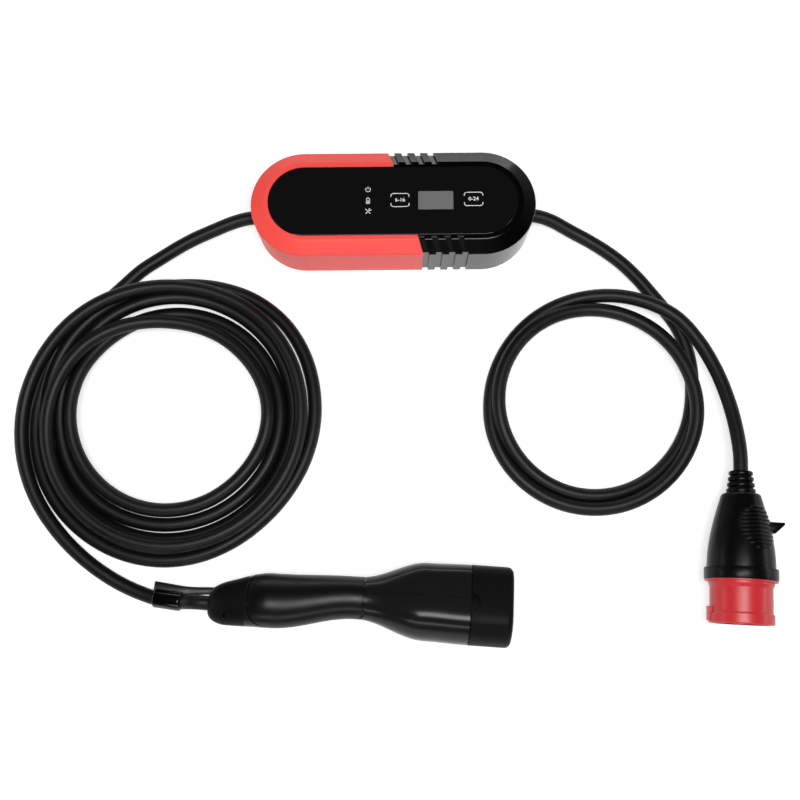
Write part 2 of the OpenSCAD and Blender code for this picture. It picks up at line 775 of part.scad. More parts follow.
// The section at x, eased between the two nearest turning points
function station(x) =
    let (after = [for (i = [1 : len(stations) - 1]) if (x <= stations[i][0]) i][0],
         a = stations[after - 1], b = stations[after])
    let (mix = lerp(a, b, ease((x - a[0]) / (b[0] - a[0]))))
    concat([x], [for (i = [1 : 6]) mix[i]]);

// Distance of a section's edge from its middle in the direction q
function edge_r(s, q) =
    let (c = cos(q), up = sin(q), w = s[2],
         oval = 1 / norm([c / w, up / (up > 0 ? s[3] : s[4])]),
         clipped = up > 0 ? pow(pow(1 / w, d_power) + pow(up / s[3], d_power), -1 / d_power) : oval)
    lerp(oval, clipped, s[5]);

// Section s thinned by t all round
function thinned(s, t) = [s[0], s[1], s[2] - t, s[3] - t, s[4] - t, s[5], s[6]];
function edge_point(s, q) = let (r = edge_r(s, q)) [s[0], s[6] + r * cos(q), s[1] + r * sin(q)];
function section_ring(s) = [for (j = [0 : ring_n - 1]) edge_point(s, 360 * j / ring_n)];
function round_ring(s, r) = [for (j = [0 : ring_n - 1])
    [s[0], s[6] + r * cos(360 * j / ring_n), s[1] + r * sin(360 * j / ring_n)]];
// Half of a section, anticlockwise from the direction q
function half_ring(s, q) = [for (j = [0 : ring_n / 2]) edge_point(s, q + 360 * j / ring_n)];

// From the connector's own axes to the floor's
function rolled(p) = [p[0], p[1] * cos(connector_roll) - p[2] * sin(connector_roll),
                      p[1] * sin(connector_roll) + p[2] * cos(connector_roll)];
function turned(p, a) = [p[0] * cos(a) - p[1] * sin(a), p[0] * sin(a) + p[1] * cos(a), p[2]];
function laid(p) = connector_at + turned(rolled(p), connector_yaw);
function plugged(s) = plug_at + turned([0, -s, 0], plug_yaw);

module lay_connector() translate(connector_at) rotate([0, 0, connector_yaw])
    rotate([connector_roll, 0, 0]) children();

// A D-shaped bar along the head's axis
module d_bar(inset, from, to) translate([from, 0, 0]) rotate([90, 0, 90]) linear_extrude(to - from)
    d_face(inset);

module d_face(inset) polygon([for (p = section_ring(thinned(station(0), inset))) [p[1], p[2]]]);

// Each half of the housing: the head's wall, and a core that the soft grip slides over
module half_shell(q) {
    head_x = [for (i = [0 : 9]) lerp(-head_len, -front_len, i / 9)];
    outer = concat([for (x = grip_places) thinned(station(x), grip_t + fit)],
                   [for (x = concat(head_x, [-front_len / 2, 0])) station(x)]);
    wall_skin([for (s = outer) half_ring(s, q)], [for (s = outer) half_ring(thinned(s, shell_t), q)], false);
}

module connector_left_shell() color("#2b2c2f") lay_connector()
    translate([0, seam / 4, 0]) half_shell(-90);

module connector_right_shell() color("#2b2c2f") lay_connector()
    translate([0, -seam / 4, 0]) half_shell(90);

module connector_grip() color("#232427") lay_connector() {
    grip_stations = [for (x = grip_places) station(x)];
    wall_skin([for (s = grip_stations) section_ring(s)],
                [for (s = grip_stations) section_ring(thinned(s, grip_t))]);
}

// The tail's end is rounded over its first stretch
module connector_tail() color("#2b2c2f") lay_connector() {
    bore = (cable_r + 2 * fit) / cos(180 / ring_n);
    places = concat([for (q = [0.04, 0.14, 0.3, 0.55, 1]) tail_round * q],
                    [tail_len * 0.55, tail_len * 0.8, tail_len - seam]);
    tail_stations = [for (d = places) let (s = station(tail_x + d), t = max(0, 1 - d / tail_round))
        thinned(s, (1 - sqrt(1 - t * t)) * tail_round_in)];
    wall_skin([for (s = tail_stations) section_ring(s)],
                [for (s = tail_stations) round_ring(s, bore)]);
}

module connector_collar() color("#1c1d1f") lay_connector() difference() {
    d_bar(collar_a, -collar_seat, collar_len);
    d_bar(collar_b, -collar_seat - 1, collar_len + 1);
}

module contact_bores(places, r) for (p = places) translate([0, p[0], p[1]]) rotate([0, 90, 0])
    cylinder(r = r, h = far, center = true);

module contact_carrier() color("#e4e4e0") lay_connector() difference() {
    union() {
        d_bar(carrier_a, -collar_seat, carrier_front);
        d_bar(collar_b + fit / 2, -collar_seat, -collar_seat + carrier_plate);
    }
    contact_bores(power_places, power_contact_d / 2 + contact_t + fit / 2);
    contact_bores(signal_places, signal_contact_d / 2 + contact_t + fit / 2);
}

// Sleeves that grip the pins of a car's inlet, closed behind the carrier
module contacts(places, d, len) lay_connector() for (p = places)
    translate([-collar_seat - contact_rear, p[0], p[1]]) rotate([0, 90, 0]) difference() {
        cylinder(d = d + 2 * contact_t, h = len);
        translate([0, 0, contact_solid]) cylinder(d = d, h = len);
    }

module power_contacts() color("#c9b36a")
    contacts(power_places, power_contact_d, collar_seat + contact_rear + carrier_front - power_recess);

module signal_contacts() color("#c9b36a")
    contacts(signal_places, signal_contact_d, collar_seat + contact_rear + carrier_front - signal_recess);

module protective_cap() color("#202124") lay_connector() difference() {
    union() {
        skin([for (d = concat([seam, cap_len / 2],
                              [for (q = [0 : 22.5 : 90]) cap_len - cap_r * (1 - sin(q))]))
            let (t = max(0, d - cap_len + cap_r) / cap_r,
                 s = thinned(station(0), cap_r * (1 - sqrt(max(0, 1 - t * t)))))
            [for (p = section_ring(s)) [d, p[1], p[2]]]]);
        // Lug for the strap, under the rim
        rotate([-connector_roll, 0, 0])
            translate([seam, lug_y - strap_w / 2 - lug_side, -head_r + lug_lift])
                cube([lug_len, strap_w + 2 * lug_side, lug_h]);
    }
    d_bar(collar_a - cap_play, -1, collar_len + cap_play);
    translate([seam, -notch_side, 0]) cylinder(r = notch_r, h = far);
}

// One moulding: a sleeve on the cable, and a strap that runs beside it and on to the cap's rim
module cap_tether() color("#1a1a1b") difference() {
    union() {
        on_sleeve() cylinder(r = cable_r + 2 * fit + sleeve_t, h = sleeve_len);
        strap();
    }
    on_sleeve() translate([0, 0, -sleeve_len]) cylinder(r = cable_r + 2 * fit, h = 3 * sleeve_len);
}

module on_sleeve() translate(sleeve_from)
    rotate([0, acos(sleeve_way[2] / sleeve_len), atan2(sleeve_way[1], sleeve_way[0])]) children();

module strap() {
    last = len(strap_route) - 1;
    skin([for (i = [0 : last])
        let (t = unit(strap_route[min(i + 1, last)] - strap_route[max(i - 1, 0)]),
             across = unit(cross([0, 0, 1], t)) * strap_w / 2,
             up = cross(t, unit(across)) * strap_t / 2)
        [for (c = [[-1, -1], [1, -1], [1, 1], [-1, 1]]) strap_route[i] + c[0] * across + c[1] * up]]);
}

module lay_plug() translate(plug_at) rotate([0, 0, plug_yaw]) rotate([90, 0, 0]) children();

// Outline of the plug's body: a bell from the boot to the flange
function bell(grow = 0) = [for (i = [0 : 10]) let (t = i / 10)
    [lerp(body_rear_d / 2, body_d / 2, sin(90 * t)) + grow,
     body_s + body_edge + t * (body_len - body_edge)]];

module plug_body() color("#26272a") lay_plug() {
    difference() {
        rotate_extrude() polygon(concat(
            [[0, body_s], [body_rear_d / 2 - body_edge, body_s]], bell(),
            [[flange_d / 2 - edge_cut, flange_s], [flange_d / 2, flange_s + edge_cut],
             [flange_d / 2, face_s - edge_cut], [flange_d / 2 - edge_cut, face_s], [0, face_s]]));
        rotate_extrude() polygon([
            [0, body_s - 1], [boot_spigot_r + fit, body_s - 1], [boot_spigot_r + fit, spigot_floor],
            [body_rear_d / 2 - body_t, spigot_floor + body_t], [inner_r, carrier_s - pin_rear],
            [spigot_r + fit, carrier_s - fit], [spigot_r + fit, face_s + 1], [0, face_s + 1]]);
    }
    latch_lug();
    for (turn = [0, 180]) rotate([0, 0, ridge_turn + turn]) grip_ridges();
}

// Lug that a socket's lid hooks behind, flat at the rear and slanted to the mouth
module latch_lug() difference() {
    translate([0, 0, body_s + hook_s]) rotate([90, 0, 0]) linear_extrude(hook_w, center = true)
        polygon([[body_rear_d / 2, 0], [body_d / 2 + hook_reach, 0], [body_d / 2 + hook_reach, hook_tip],
                 [body_d / 2 - edge_cut, hook_len], [body_rear_d / 2, hook_len]]);
    bell_core();
}

// The body just under its surface, which the lug and the ridges reach into
module bell_core() rotate_extrude() polygon(concat([[0, body_s]], bell(-sunk), [[0, flange_s]]));

// Ridges across the body, inside a round patch on the side that faces local +Y
module grip_ridges() {
    pitch = ridge_patch_d / ridge_count;
    patch_s = body_s + body_len * ridge_place;
    difference() {
        intersection() {
            rotate_extrude() polygon(concat([[0, body_s + body_edge]], bell(ridge_h), [[0, flange_s]]));
            translate([0, 0, patch_s]) rotate([-90, 0, 0]) cylinder(d = ridge_patch_d, h = far);
            for (i = [0 : ridge_count - 1])
                translate([-far / 2, 0, patch_s + (i + 0.25) * pitch - ridge_patch_d / 2])
                    cube([far, far, pitch / 2]);
        }
        bell_core();
    }
}

module plug_shroud() color("#c8323a") lay_plug() {
    rotate_extrude() polygon([
        [carrier_r + fit, carrier_s], [spigot_r, carrier_s], [spigot_r, face_s + seal_s],
        [lip_d / 2, face_s + seal_s], [lip_d / 2, face_s + step_len], [shroud_d / 2, face_s + 2 * step_len],
        [shroud_d / 2, mouth_s - lip_len - step_slope], [lip_d / 2, mouth_s - lip_len],
        [lip_d / 2, mouth_s - edge_cut], [lip_d / 2 - edge_cut, mouth_s], [bore_r, mouth_s],
        [bore_r, face_s + carrier_proud], [carrier_r + fit, face_s + carrier_proud]]);
    // Key on the side of the earth pin
    difference() {
        translate([-lip_d / 2 - key_proud, -key_w / 2, mouth_s - key_back - key_len])
            cube([lip_d / 2 - bore_r + key_proud, key_w, key_len]);
        cylinder(r = bore_r + sunk, h = far);
    }
}

module plug_seal() color("#3a3a3a") lay_plug() translate([0, 0, face_s]) difference() {
    cylinder(d = lip_d - edge_cut, h = seal_s);
    translate([0, 0, -1]) cylinder(r = spigot_r + fit, h = seal_s + 2);
}

// The pins stand on one circle, with the earth pin opposite the lug
function pin_place(i) = [cos(180 + 72 * i), sin(180 + 72 * i)] * pin_circle_d / 2;

module pin_carrier() color("#d9d7cf") lay_plug() difference() {
    translate([0, 0, carrier_s]) cylinder(r = carrier_r, h = carrier_t + carrier_proud);
    for (i = [0 : 4]) translate(pin_place(i))
        cylinder(d = (i == 0 ? earth_pin_d : line_pin_d) - pin_step + fit, h = mouth_s);
}

// A pin: a shank through the carrier, a working length in front of it, and a blunt tip
module pin(i, d) translate(pin_place(i)) {
    tip = d / 4;
    translate([0, 0, carrier_s - pin_rear])
        cylinder(d = d - pin_step, h = pin_rear + carrier_t + carrier_proud + tip);
    translate([0, 0, face_s + carrier_proud]) {
        cylinder(d = d, h = pin_len - tip);
        translate([0, 0, pin_len - tip]) cylinder(d1 = d, d2 = d / 2, h = tip);
    }
}

module line_pins() color("#cfc9b8") lay_plug() for (i = [1 : 4]) pin(i, line_pin_d);

module earth_pin() color("#cfc9b8") lay_plug() pin(0, earth_pin_d);

// Ribbed rubber boot, with a spigot in the body's rear end
module plug_boot() color("#1a1a1b") lay_plug() difference() {
    union() {
        cylinder(r1 = boot_r - boot_neck, r2 = boot_r - boot_neck + boot_taper, h = boot_len - fit);
        for (i = [0 : boot_rings - 1]) let (s = boot_len * (i + 0.15) / boot_rings)
            translate([0, 0, s])
                cylinder(r = boot_r + boot_taper * s / boot_len, h = boot_len / boot_rings / 2);
        cylinder(r = boot_spigot_r, h = boot_len + boot_spigot);
    }
    translate([0, 0, -1]) cylinder(r = cable_r + fit, h = boot_len + boot_spigot + 2);
}

red_end_cover();
black_end_cover();
base_plate();
base_seal();
base_screws();
front_panel();
display_screen();
control_board();
control_screws();
status_lamps();
touch_springs();
power_board();
board_screws();
power_relays();
leakage_sensor();
supply_module();
terminal_blocks();
left_grommet();
right_grommet();
cable_clamps();
clamp_screws();
vehicle_cable_lead();
vehicle_cable_coil();
vehicle_cable_tail();
supply_cable_lead();
supply_cable_loop();
supply_cable_tail();
connector_left_shell();
connector_right_shell();
connector_grip();
connector_tail();
connector_collar();
contact_carrier();
power_contacts();
signal_contacts();
protective_cap();
cap_tether();
plug_body();
plug_shroud();
plug_seal();
pin_carrier();
line_pins();
earth_pin();
plug_boot();
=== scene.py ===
import bpy, bmesh, json, math
import numpy as np
from mathutils import Matrix, Vector


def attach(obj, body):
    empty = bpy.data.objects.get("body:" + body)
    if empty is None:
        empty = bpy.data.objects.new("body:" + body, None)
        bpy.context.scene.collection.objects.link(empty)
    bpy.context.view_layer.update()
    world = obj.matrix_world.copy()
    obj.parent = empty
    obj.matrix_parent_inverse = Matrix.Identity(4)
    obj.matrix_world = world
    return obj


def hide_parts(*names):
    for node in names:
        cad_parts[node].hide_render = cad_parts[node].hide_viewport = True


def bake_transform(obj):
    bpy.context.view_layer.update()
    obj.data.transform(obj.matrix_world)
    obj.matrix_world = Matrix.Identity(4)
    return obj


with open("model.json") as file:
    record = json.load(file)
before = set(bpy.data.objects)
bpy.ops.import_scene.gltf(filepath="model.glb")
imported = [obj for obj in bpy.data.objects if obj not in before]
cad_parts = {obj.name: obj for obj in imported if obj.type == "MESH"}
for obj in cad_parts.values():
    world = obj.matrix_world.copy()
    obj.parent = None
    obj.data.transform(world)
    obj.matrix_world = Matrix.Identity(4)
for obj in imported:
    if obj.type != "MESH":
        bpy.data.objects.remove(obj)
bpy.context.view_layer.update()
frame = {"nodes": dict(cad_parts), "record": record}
nodes = frame["nodes"]
mm = 0.001  # sizes in the dictionaries are in mm

camera = dict(lens=50, sensor=36, place=(4.9, -415.1, 1076), target=(4.9, -186.4, 0),
              roll=-0.51)  # roll in degrees


def makeCamera():
    data = bpy.data.cameras.new("camera")
    data.lens = camera["lens"]
    data.sensor_width = camera["sensor"]
    obj = bpy.data.objects.new("camera", data)
    bpy.context.collection.objects.link(obj)
    place, target = (Vector(camera[k]) * mm for k in ("place", "target"))
    turn = (target - place).to_track_quat("-Z", "Y").to_matrix().to_4x4()
    roll = Matrix.Rotation(math.radians(camera["roll"]), 4, "Z")
    obj.matrix_world = Matrix.Translation(place) @ turn @ roll
    bpy.context.scene.camera = obj


makeCamera()
print("camera in place")


def addNode(tree, kind, inputs=None, **settings):
    node = tree.nodes.new("ShaderNode" + kind)
    for key, value in settings.items():
        setattr(node, key, value)
    for key, value in (inputs or {}).items():
        node.inputs[key].default_value = value
    return node


def wire(tree, *links):  # each link: node, its output, node, its input
    for a, out, b, into in links:
        tree.links.new(a.outputs[out], b.inputs[into])


def newGroup(name, inputs, outputs):
    tree = bpy.data.node_groups.new(name, "ShaderNodeTree")
    for title, kind, value in inputs:
        socket = tree.interface.new_socket(title, in_out="INPUT", socket_type="NodeSocket" + kind)
        socket.default_value = value
    for title, kind in outputs:
        tree.interface.new_socket(title, in_out="OUTPUT", socket_type="NodeSocket" + kind)
    return tree, tree.nodes.new("NodeGroupInput"), tree.nodes.new("NodeGroupOutput")


def spread(tree, noise, amount, middle):
    # middle + amount * (noise - 0.5) * 2, amount and middle being (node, output) or plain numbers
    away = addNode(tree, "Math", {1: 0.5}, operation="SUBTRACT")
    twice = addNode(tree, "Math", {1: 2.0}, operation="MULTIPLY")
    scaled = addNode(tree, "Math", operation="MULTIPLY")
    total = addNode(tree, "Math", operation="ADD")
    wire(tree, (noise, 0, away, 0), (away, 0, twice, 0), (twice, 0, scaled, 0), (scaled, 0, total, 0))
    for node, value in ((scaled, amount), (total, middle)):
        if isinstance(value, tuple):
            wire(tree, (value[0], value[1], node, 1))
        else:
            node.inputs[1].default_value = value
    return total


def makeMouldedFinish():
    # soft cloudy shade, uneven gloss and a fine spark-eroded grain
    tree, into, out = newGroup(
        "mouldedFinish",
        [("Color", "Color", (0.5, 0.5, 0.5, 1)), ("Shade Change", "Float", 0.05),
         ("Cloud Scale", "Float", 20), ("Roughness", "Float", 0.45), ("Gloss Change", "Float", 0.05),
         ("Grain Scale", "Float", 1500)],
        [("Color", "Color"), ("Roughness", "Float"), ("Height", "Float")])
    place = addNode(tree, "TexCoord")
    cloud = addNode(tree, "TexNoise", {"Detail": 3.0, "Roughness": 0.55})
    gloss = addNode(tree, "TexNoise", {"Scale": 95.0, "Detail": 2.0})
    grain = addNode(tree, "TexNoise", {"Detail": 2.0, "Roughness": 0.6})
    pits = addNode(tree, "TexVoronoi", {"Scale": 900.0})
    shade = spread(tree, cloud, (into, "Shade Change"), 1.0)
    rough = spread(tree, gloss, (into, "Gloss Change"), (into, "Roughness"))
    tint = addNode(tree, "HueSaturation")
    grainShare = 0.7  # beside the pits
    mixed = addNode(tree, "Math", {1: grainShare}, operation="MULTIPLY_ADD")
    wire(tree, (place, "Object", cloud, "Vector"), (place, "Object", gloss, "Vector"),
         (place, "Object", grain, "Vector"), (place, "Object", pits, "Vector"),
         (into, "Cloud Scale", cloud, "Scale"), (into, "Grain Scale", grain, "Scale"),
         (into, "Color", tint, "Color"), (shade, 0, tint, "Value"), (tint, "Color", out, "Color"),
         (rough, 0, out, "Roughness"), (grain, 0, mixed, 0), (pits, "Distance", mixed, 2),
         (mixed, 0, out, "Height"))
    return tree


def makeJacketRun():
    # extruded jacket: faint streaks along the cable, dull and bright patches, tiny pits
    # u runs round the cable, v along it in metres
    tree, into, out = newGroup(
        "jacketRun",
        [("Color", "Color", (0.03, 0.03, 0.03, 1)), ("Shade Change", "Float", 0.12),
         ("Roughness", "Float", 0.5), ("Gloss Change", "Float", 0.06)],
        [("Color", "Color"), ("Roughness", "Float"), ("Height", "Float")])
    place = addNode(tree, "UVMap")
    long = addNode(tree, "Mapping", {"Scale": (34.0, 1.6, 1.0)})
    patch = addNode(tree, "Mapping", {"Scale": (3.0, 26.0, 1.0)})
    pit = addNode(tree, "Mapping", {"Scale": (46.0, 1100.0, 1.0)})
    streak = addNode(tree, "TexNoise", {"Scale": 1.0, "Detail": 3.0})
    dull = addNode(tree, "TexNoise", {"Scale": 1.0, "Detail": 2.0})
    pits = addNode(tree, "TexNoise", {"Scale": 1.0, "Detail": 1.0})
    shade = spread(tree, streak, (into, "Shade Change"), 1.0)
    rough = spread(tree, dull, (into, "Gloss Change"), (into, "Roughness"))
    tint = addNode(tree, "HueSaturation")
    pitShare = 0.35  # beside the streaks
    height = addNode(tree, "Math", {1: pitShare}, operation="MULTIPLY_ADD")
    wire(tree, (place, "UV", long, "Vector"), (place, "UV", patch, "Vector"), (place, "UV", pit, "Vector"),
         (long, 0, streak, "Vector"), (patch, 0, dull, "Vector"), (pit, 0, pits, "Vector"),
         (into, "Color", tint, "Color"), (shade, 0, tint, "Value"), (tint, "Color", out, "Color"),
         (rough, 0, out, "Roughness"), (pits, 0, height, 0), (streak, 0, height, 2),
         (height, 0, out, "Height"))
    return tree


def makeDrawnMetal():
    # turning lines across the part's length and a dull film
    tree, into, out = newGroup(
        "drawnMetal",
        [("Color", "Color", (0.6, 0.6, 0.6, 1)), ("Shade Change", "Float", 0.1), ("Roughness", "Float", 0.3),
         ("Gloss Change", "Float", 0.1), ("Line Scale", "Vector", (200.0, 3000.0, 200.0))],
        [("Color", "Color"), ("Roughness", "Float"), ("Height", "Float")])
    place = addNode(tree, "TexCoord")
    stretch = addNode(tree, "VectorMath", operation="MULTIPLY")
    lines = addNode(tree, "TexNoise", {"Scale": 1.0, "Detail": 2.0})
    film = addNode(tree, "TexNoise", {"Scale": 160.0, "Detail": 2.0})
    shade = spread(tree, film, (into, "Shade Change"), 1.0)
    rough = spread(tree, lines, (into, "Gloss Change"), (into, "Roughness"))
    tint = addNode(tree, "HueSaturation")
    wire(tree, (place, "Object", stretch, 0), (into, "Line Scale", stretch, 1), (stretch, 0, lines, "Vector"),
         (place, "Object", film, "Vector"), (into, "Color", tint, "Color"), (shade, 0, tint, "Value"),
         (tint, "Color", out, "Color"), (rough, 0, out, "Roughness"), (lines, 0, out, "Height"))
    return tree


def dressed(name, group, values, bump, depth, **sockets):
    # a material whose colour, gloss and relief come from one of the groups
    mat = bpy.data.materials.new(name)
    mat.use_nodes = True
    tree = mat.node_tree
    shader = tree.nodes["Principled BSDF"]
    look = addNode(tree, "Group", node_tree=group)
    for key, value in values.items():
        look.inputs[key].default_value = value
    relief = addNode(tree, "Bump", {"Strength": bump, "Distance": depth * mm})
    wire(tree, (look, "Color", shader, "Base Color"), (look, "Roughness", shader, "Roughness"),
         (look, "Height", relief, "Height"), (relief, "Normal", shader, "Normal"))
    for key, value in sockets.items():
        shader.inputs[key.replace("_", " ")].default_value = value
    return mat


mouldedFinish, jacketRun, drawnMetal = makeMouldedFinish(), makeJacketRun(), makeDrawnMetal()
moulded = dict(
    # colour, shade change, cloud scale, roughness, gloss change, grain scale, bump, depth, specular
    red_plastic=((0.93, 0.076, 0.062), 0.03, 16, 0.42, 0.05, 1500, 0.08, 0.05, 0.30),
    deep_red_plastic=((0.52, 0.021, 0.027), 0.06, 22, 0.36, 0.06, 1300, 0.08, 0.05, 0.40),
    black_plastic=((0.0074, 0.0074, 0.0076), 0.12, 20, 0.22, 0.04, 1500, 0.06, 0.05, 0.20),
    matt_black=((0.0022, 0.0022, 0.0023), 0.12, 20, 0.50, 0.04, 1500, 0.10, 0.05, 0.08),
    # near-black painted shade: stands in for the shade inside the cap's notch and the boot's slots
    painted_shade_black=((0.0006, 0.0006, 0.0006), 0.10, 20, 0.50, 0.04, 1500, 0.05, 0.05, 0.08),
    cover_black=((0.0008, 0.0008, 0.0009), 0.10, 20, 0.19, 0.03, 1500, 0.04, 0.05, 0.34),
    bell_black=((0.0018, 0.0018, 0.0019), 0.12, 24, 0.31, 0.05, 1300, 0.06, 0.05, 0.12),
    strap_black=((0.0012, 0.0012, 0.0013), 0.10, 30, 0.16, 0.03, 1100, 0.03, 0.05, 0.45),
    panel_gloss=((0.0048, 0.0048, 0.0050), 0.05, 12, 0.10, 0.025, 500, 0.02, 0.02, 0.50),
    display_grey=((0.158, 0.158, 0.160), 0.04, 40, 0.24, 0.04, 700, 0.04, 0.02, 0.40),
    black_rubber=((0.0020, 0.0020, 0.0021), 0.12, 24, 0.34, 0.05, 1100, 0.10, 0.06, 0.22),
    board_green=((0.02, 0.13, 0.06), 0.10, 60, 0.40, 0.08, 800, 0.2, 0.05, 0.50),
    part_black=((0.025, 0.025, 0.028), 0.10, 60, 0.45, 0.08, 1000, 0.2, 0.05, 0.50),
    terminal_blue=((0.04, 0.12, 0.24), 0.10, 60, 0.45, 0.08, 1000, 0.2, 0.05, 0.50),
    white_insulator=((0.62, 0.61, 0.57), 0.05, 50, 0.45, 0.06, 1000, 0.2, 0.05, 0.50),
    print_white=((0.80, 0.80, 0.80), 0.04, 300, 0.50, 0.05, 1500, 0.05, 0.01, 0.40))
# the collar, seen through the cap's notch, is given the near-black painted shade
nodeLook = dict(black_end_cover="cover_black", connector_collar="painted_shade_black")  # where it isn't the slot's own
drawn = dict(  # colour, shade change, roughness, gloss change, line scale
    screw_steel=((0.58, 0.58, 0.60), 0.10, 0.32, 0.10, (300.0, 300.0, 2500.0)),
    contact_metal=((0.66, 0.60, 0.44), 0.12, 0.26, 0.10, (2500.0, 300.0, 300.0)))
drawnRelief = dict(bump=0.1, depth=0.02)
lampClear = dict(color=(0.85, 0.9, 0.87), shade=0.03, rough=0.12, gloss=0.03, bump=0.05, depth=0.02,
                 through=0.8)
cableJacket = dict(color=(0.0032, 0.0032, 0.0034), rough=0.45, bump=0.08, depth=0.06, shine=0.23)


def makeFinishes():
    made = {}
    for slot, (color, shade, cloud, rough, gloss, grain, bump, depth, shine) in moulded.items():
        values = {"Color": (*color, 1), "Shade Change": shade, "Cloud Scale": cloud, "Roughness": rough,
                  "Gloss Change": gloss, "Grain Scale": grain}
        made[slot] = dressed(slot, mouldedFinish, values, bump, depth, Specular_IOR_Level=shine)
    for slot, (color, shade, rough, gloss, lines) in drawn.items():
        values = {"Color": (*color, 1), "Shade Change": shade, "Roughness": rough, "Gloss Change": gloss,
                  "Line Scale": lines}
        made[slot] = dressed(slot, drawnMetal, values, drawnRelief["bump"], drawnRelief["depth"],
                             Metallic=1.0)
    k = lampClear
    values = {"Color": (*k["color"], 1), "Shade Change": k["shade"], "Roughness": k["rough"],
              "Gloss Change": k["gloss"]}
    made["lamp_clear"] = dressed("lamp_clear", mouldedFinish, values, k["bump"], k["depth"],
                                 Transmission_Weight=k["through"])
    k = cableJacket
    values = {"Color": (*k["color"], 1), "Roughness": k["rough"]}
    made["cable_jacket"] = dressed("cable_jacket", jacketRun, values, k["bump"], k["depth"],
                                   Specular_IOR_Level=k["shine"])
    return made


finish = makeFinishes()
slotOf = {row["node"]: row["material_slot"] for row in frame["record"]["subparts"]}
print("finishes made", len(finish))


def newPiece(name, mesh, slot, body="charger", look=None):
    obj = bpy.data.objects.new(name, mesh)
    bpy.context.collection.objects.link(obj)
    mesh.materials.clear()
    mesh.materials.append(finish[look or slot])
    if body:
        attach(obj, body)
    return obj


def meshFrom(bm, name, sharp=35):
    bm.normal_update()
    mesh = bpy.data.meshes.new(name)
    bm.to_mesh(mesh)
    bm.free()
    return smoothed(mesh, sharp)


def smoothed(mesh, sharp=35):
    mesh.shade_smooth()
    mesh.set_sharp_from_angle(angle=math.radians(sharp))
    return mesh


def loftRings(rings, closed=False, caps=True):
    # rings of points in mm, bridged one to the next; closed joins the last to the first
    bm = bmesh.new()
    loops = []
    for points in rings:
        ring = bmesh.ops.create_circle(bm, segments=len(points), radius=1)["verts"]
        for vert, point in zip(ring, points):
            vert.co = Vector(point) * mm
        loops.append(list({edge for vert in ring for edge in vert.link_edges}))
    pairs = list(zip(loops, loops[1:])) + ([(loops[-1], loops[0])] if closed else [])
    for a, b in pairs:
        bmesh.ops.bridge_loops(bm, edges=a + b)
    if caps and not closed:
        for loop in (loops[0], loops[-1]):
            bmesh.ops.edgeloop_fill(bm, edges=loop)
    bmesh.ops.recalc_face_normals(bm, faces=bm.faces)
    return bm


def turnedRing(profile, steps=96):
    # a closed outline of (radius, height) pairs in mm, turned about z
    bm = bmesh.new()
    verts = [bm.verts.new((r * mm, 0, z * mm)) for r, z in profile]
    edges = [bm.edges.new(pair) for pair in zip(verts, verts[1:] + verts[:1])]
    bmesh.ops.spin(bm, geom=verts + edges, axis=(0, 0, 1), cent=(0, 0, 0), angle=2 * math.pi, steps=steps,
                   use_merge=True)
    bmesh.ops.recalc_face_normals(bm, faces=bm.faces)
    return bm


roundShare = 0.3  # where the middle of a small round edge lies, as a share of its size


def roundedBand(r, start, stop, edge):  # outline of a raised band with small round edges
    mid = edge * roundShare
    return [(r - edge, start), (r - mid, start + mid), (r, start + edge),
            (r, stop - edge), (r - mid, stop - mid), (r - edge, stop)]


def rod(radius, length, segments):  # along z, its middle at the origin
    bm = bmesh.new()
    bmesh.ops.create_cone(bm, cap_ends=True, segments=segments, radius1=radius * mm, radius2=radius * mm,
                          depth=length * mm)
    return bm


def pushed(bm, way):  # a flat face becomes a block
    grown = bmesh.ops.extrude_face_region(bm, geom=list(bm.faces))["geom"]
    bmesh.ops.translate(bm, vec=way, verts=[v for v in grown if isinstance(v, bmesh.types.BMVert)])
    bmesh.ops.recalc_face_normals(bm, faces=bm.faces)


def flowThrough(values, keys, at):  # smooth curve through the values, read at the places given
    v, k = np.array(values, float), np.array(keys, float)
    slope = np.gradient(v, k, axis=0)
    i = np.clip(np.searchsorted(k, at, side="right") - 1, 0, len(k) - 2)
    step = k[i + 1] - k[i]
    t = (at - k[i]) / step
    if v.ndim > 1:
        step, t = step[:, None], t[:, None]
    return ((2 * t**3 - 3 * t**2 + 1) * v[i] + (t**3 - 2 * t**2 + t) * step * slope[i]
            + (3 * t**2 - 2 * t**3) * v[i + 1] + (t**3 - t**2) * step * slope[i + 1])


def runAlong(points):  # length from the first point to each
    return np.r_[0, np.cumsum(np.linalg.norm(np.diff(points, axis=0), axis=1))]


def evenLine(points, step, finer=10):  # the same curve as points a fixed step apart
    p = np.array(points, float)
    keys = runAlong(p)
    fine = flowThrough(p, keys, np.arange(0, keys[-1], step / finer))
    run = runAlong(fine)
    places = np.linspace(0, run[-1], int(round(run[-1] / step)) + 1)
    return np.stack([np.interp(places, run, fine[:, c]) for c in range(3)], 1)


def weighted(z):  # one round of five-point smoothing
    out = z.copy()
    out[2:-2] = (z[:-4] + 4 * z[1:-3] + 6 * z[2:-2] + 4 * z[3:-1] + z[4:]) / 16
    return out


def laidDown(line, gap, apart, rounds, passes=3):
    # each stretch lies on the floor or on what was laid before it, with long low humps
    for _ in range(passes):
        z = line[:, 2].copy()
        for k in range(apart + 1, len(z)):
            away = np.linalg.norm(line[:k - apart, :2] - line[k, :2], axis=1)
            near = away < gap
            if near.any():
                z[k] = max(z[k], (z[:k - apart][near] + np.sqrt(gap**2 - away[near]**2)).max())
        low = z.copy()
        for _ in range(rounds):
            z = np.maximum(low, weighted(z))
        line[:, 2] = z
    return line


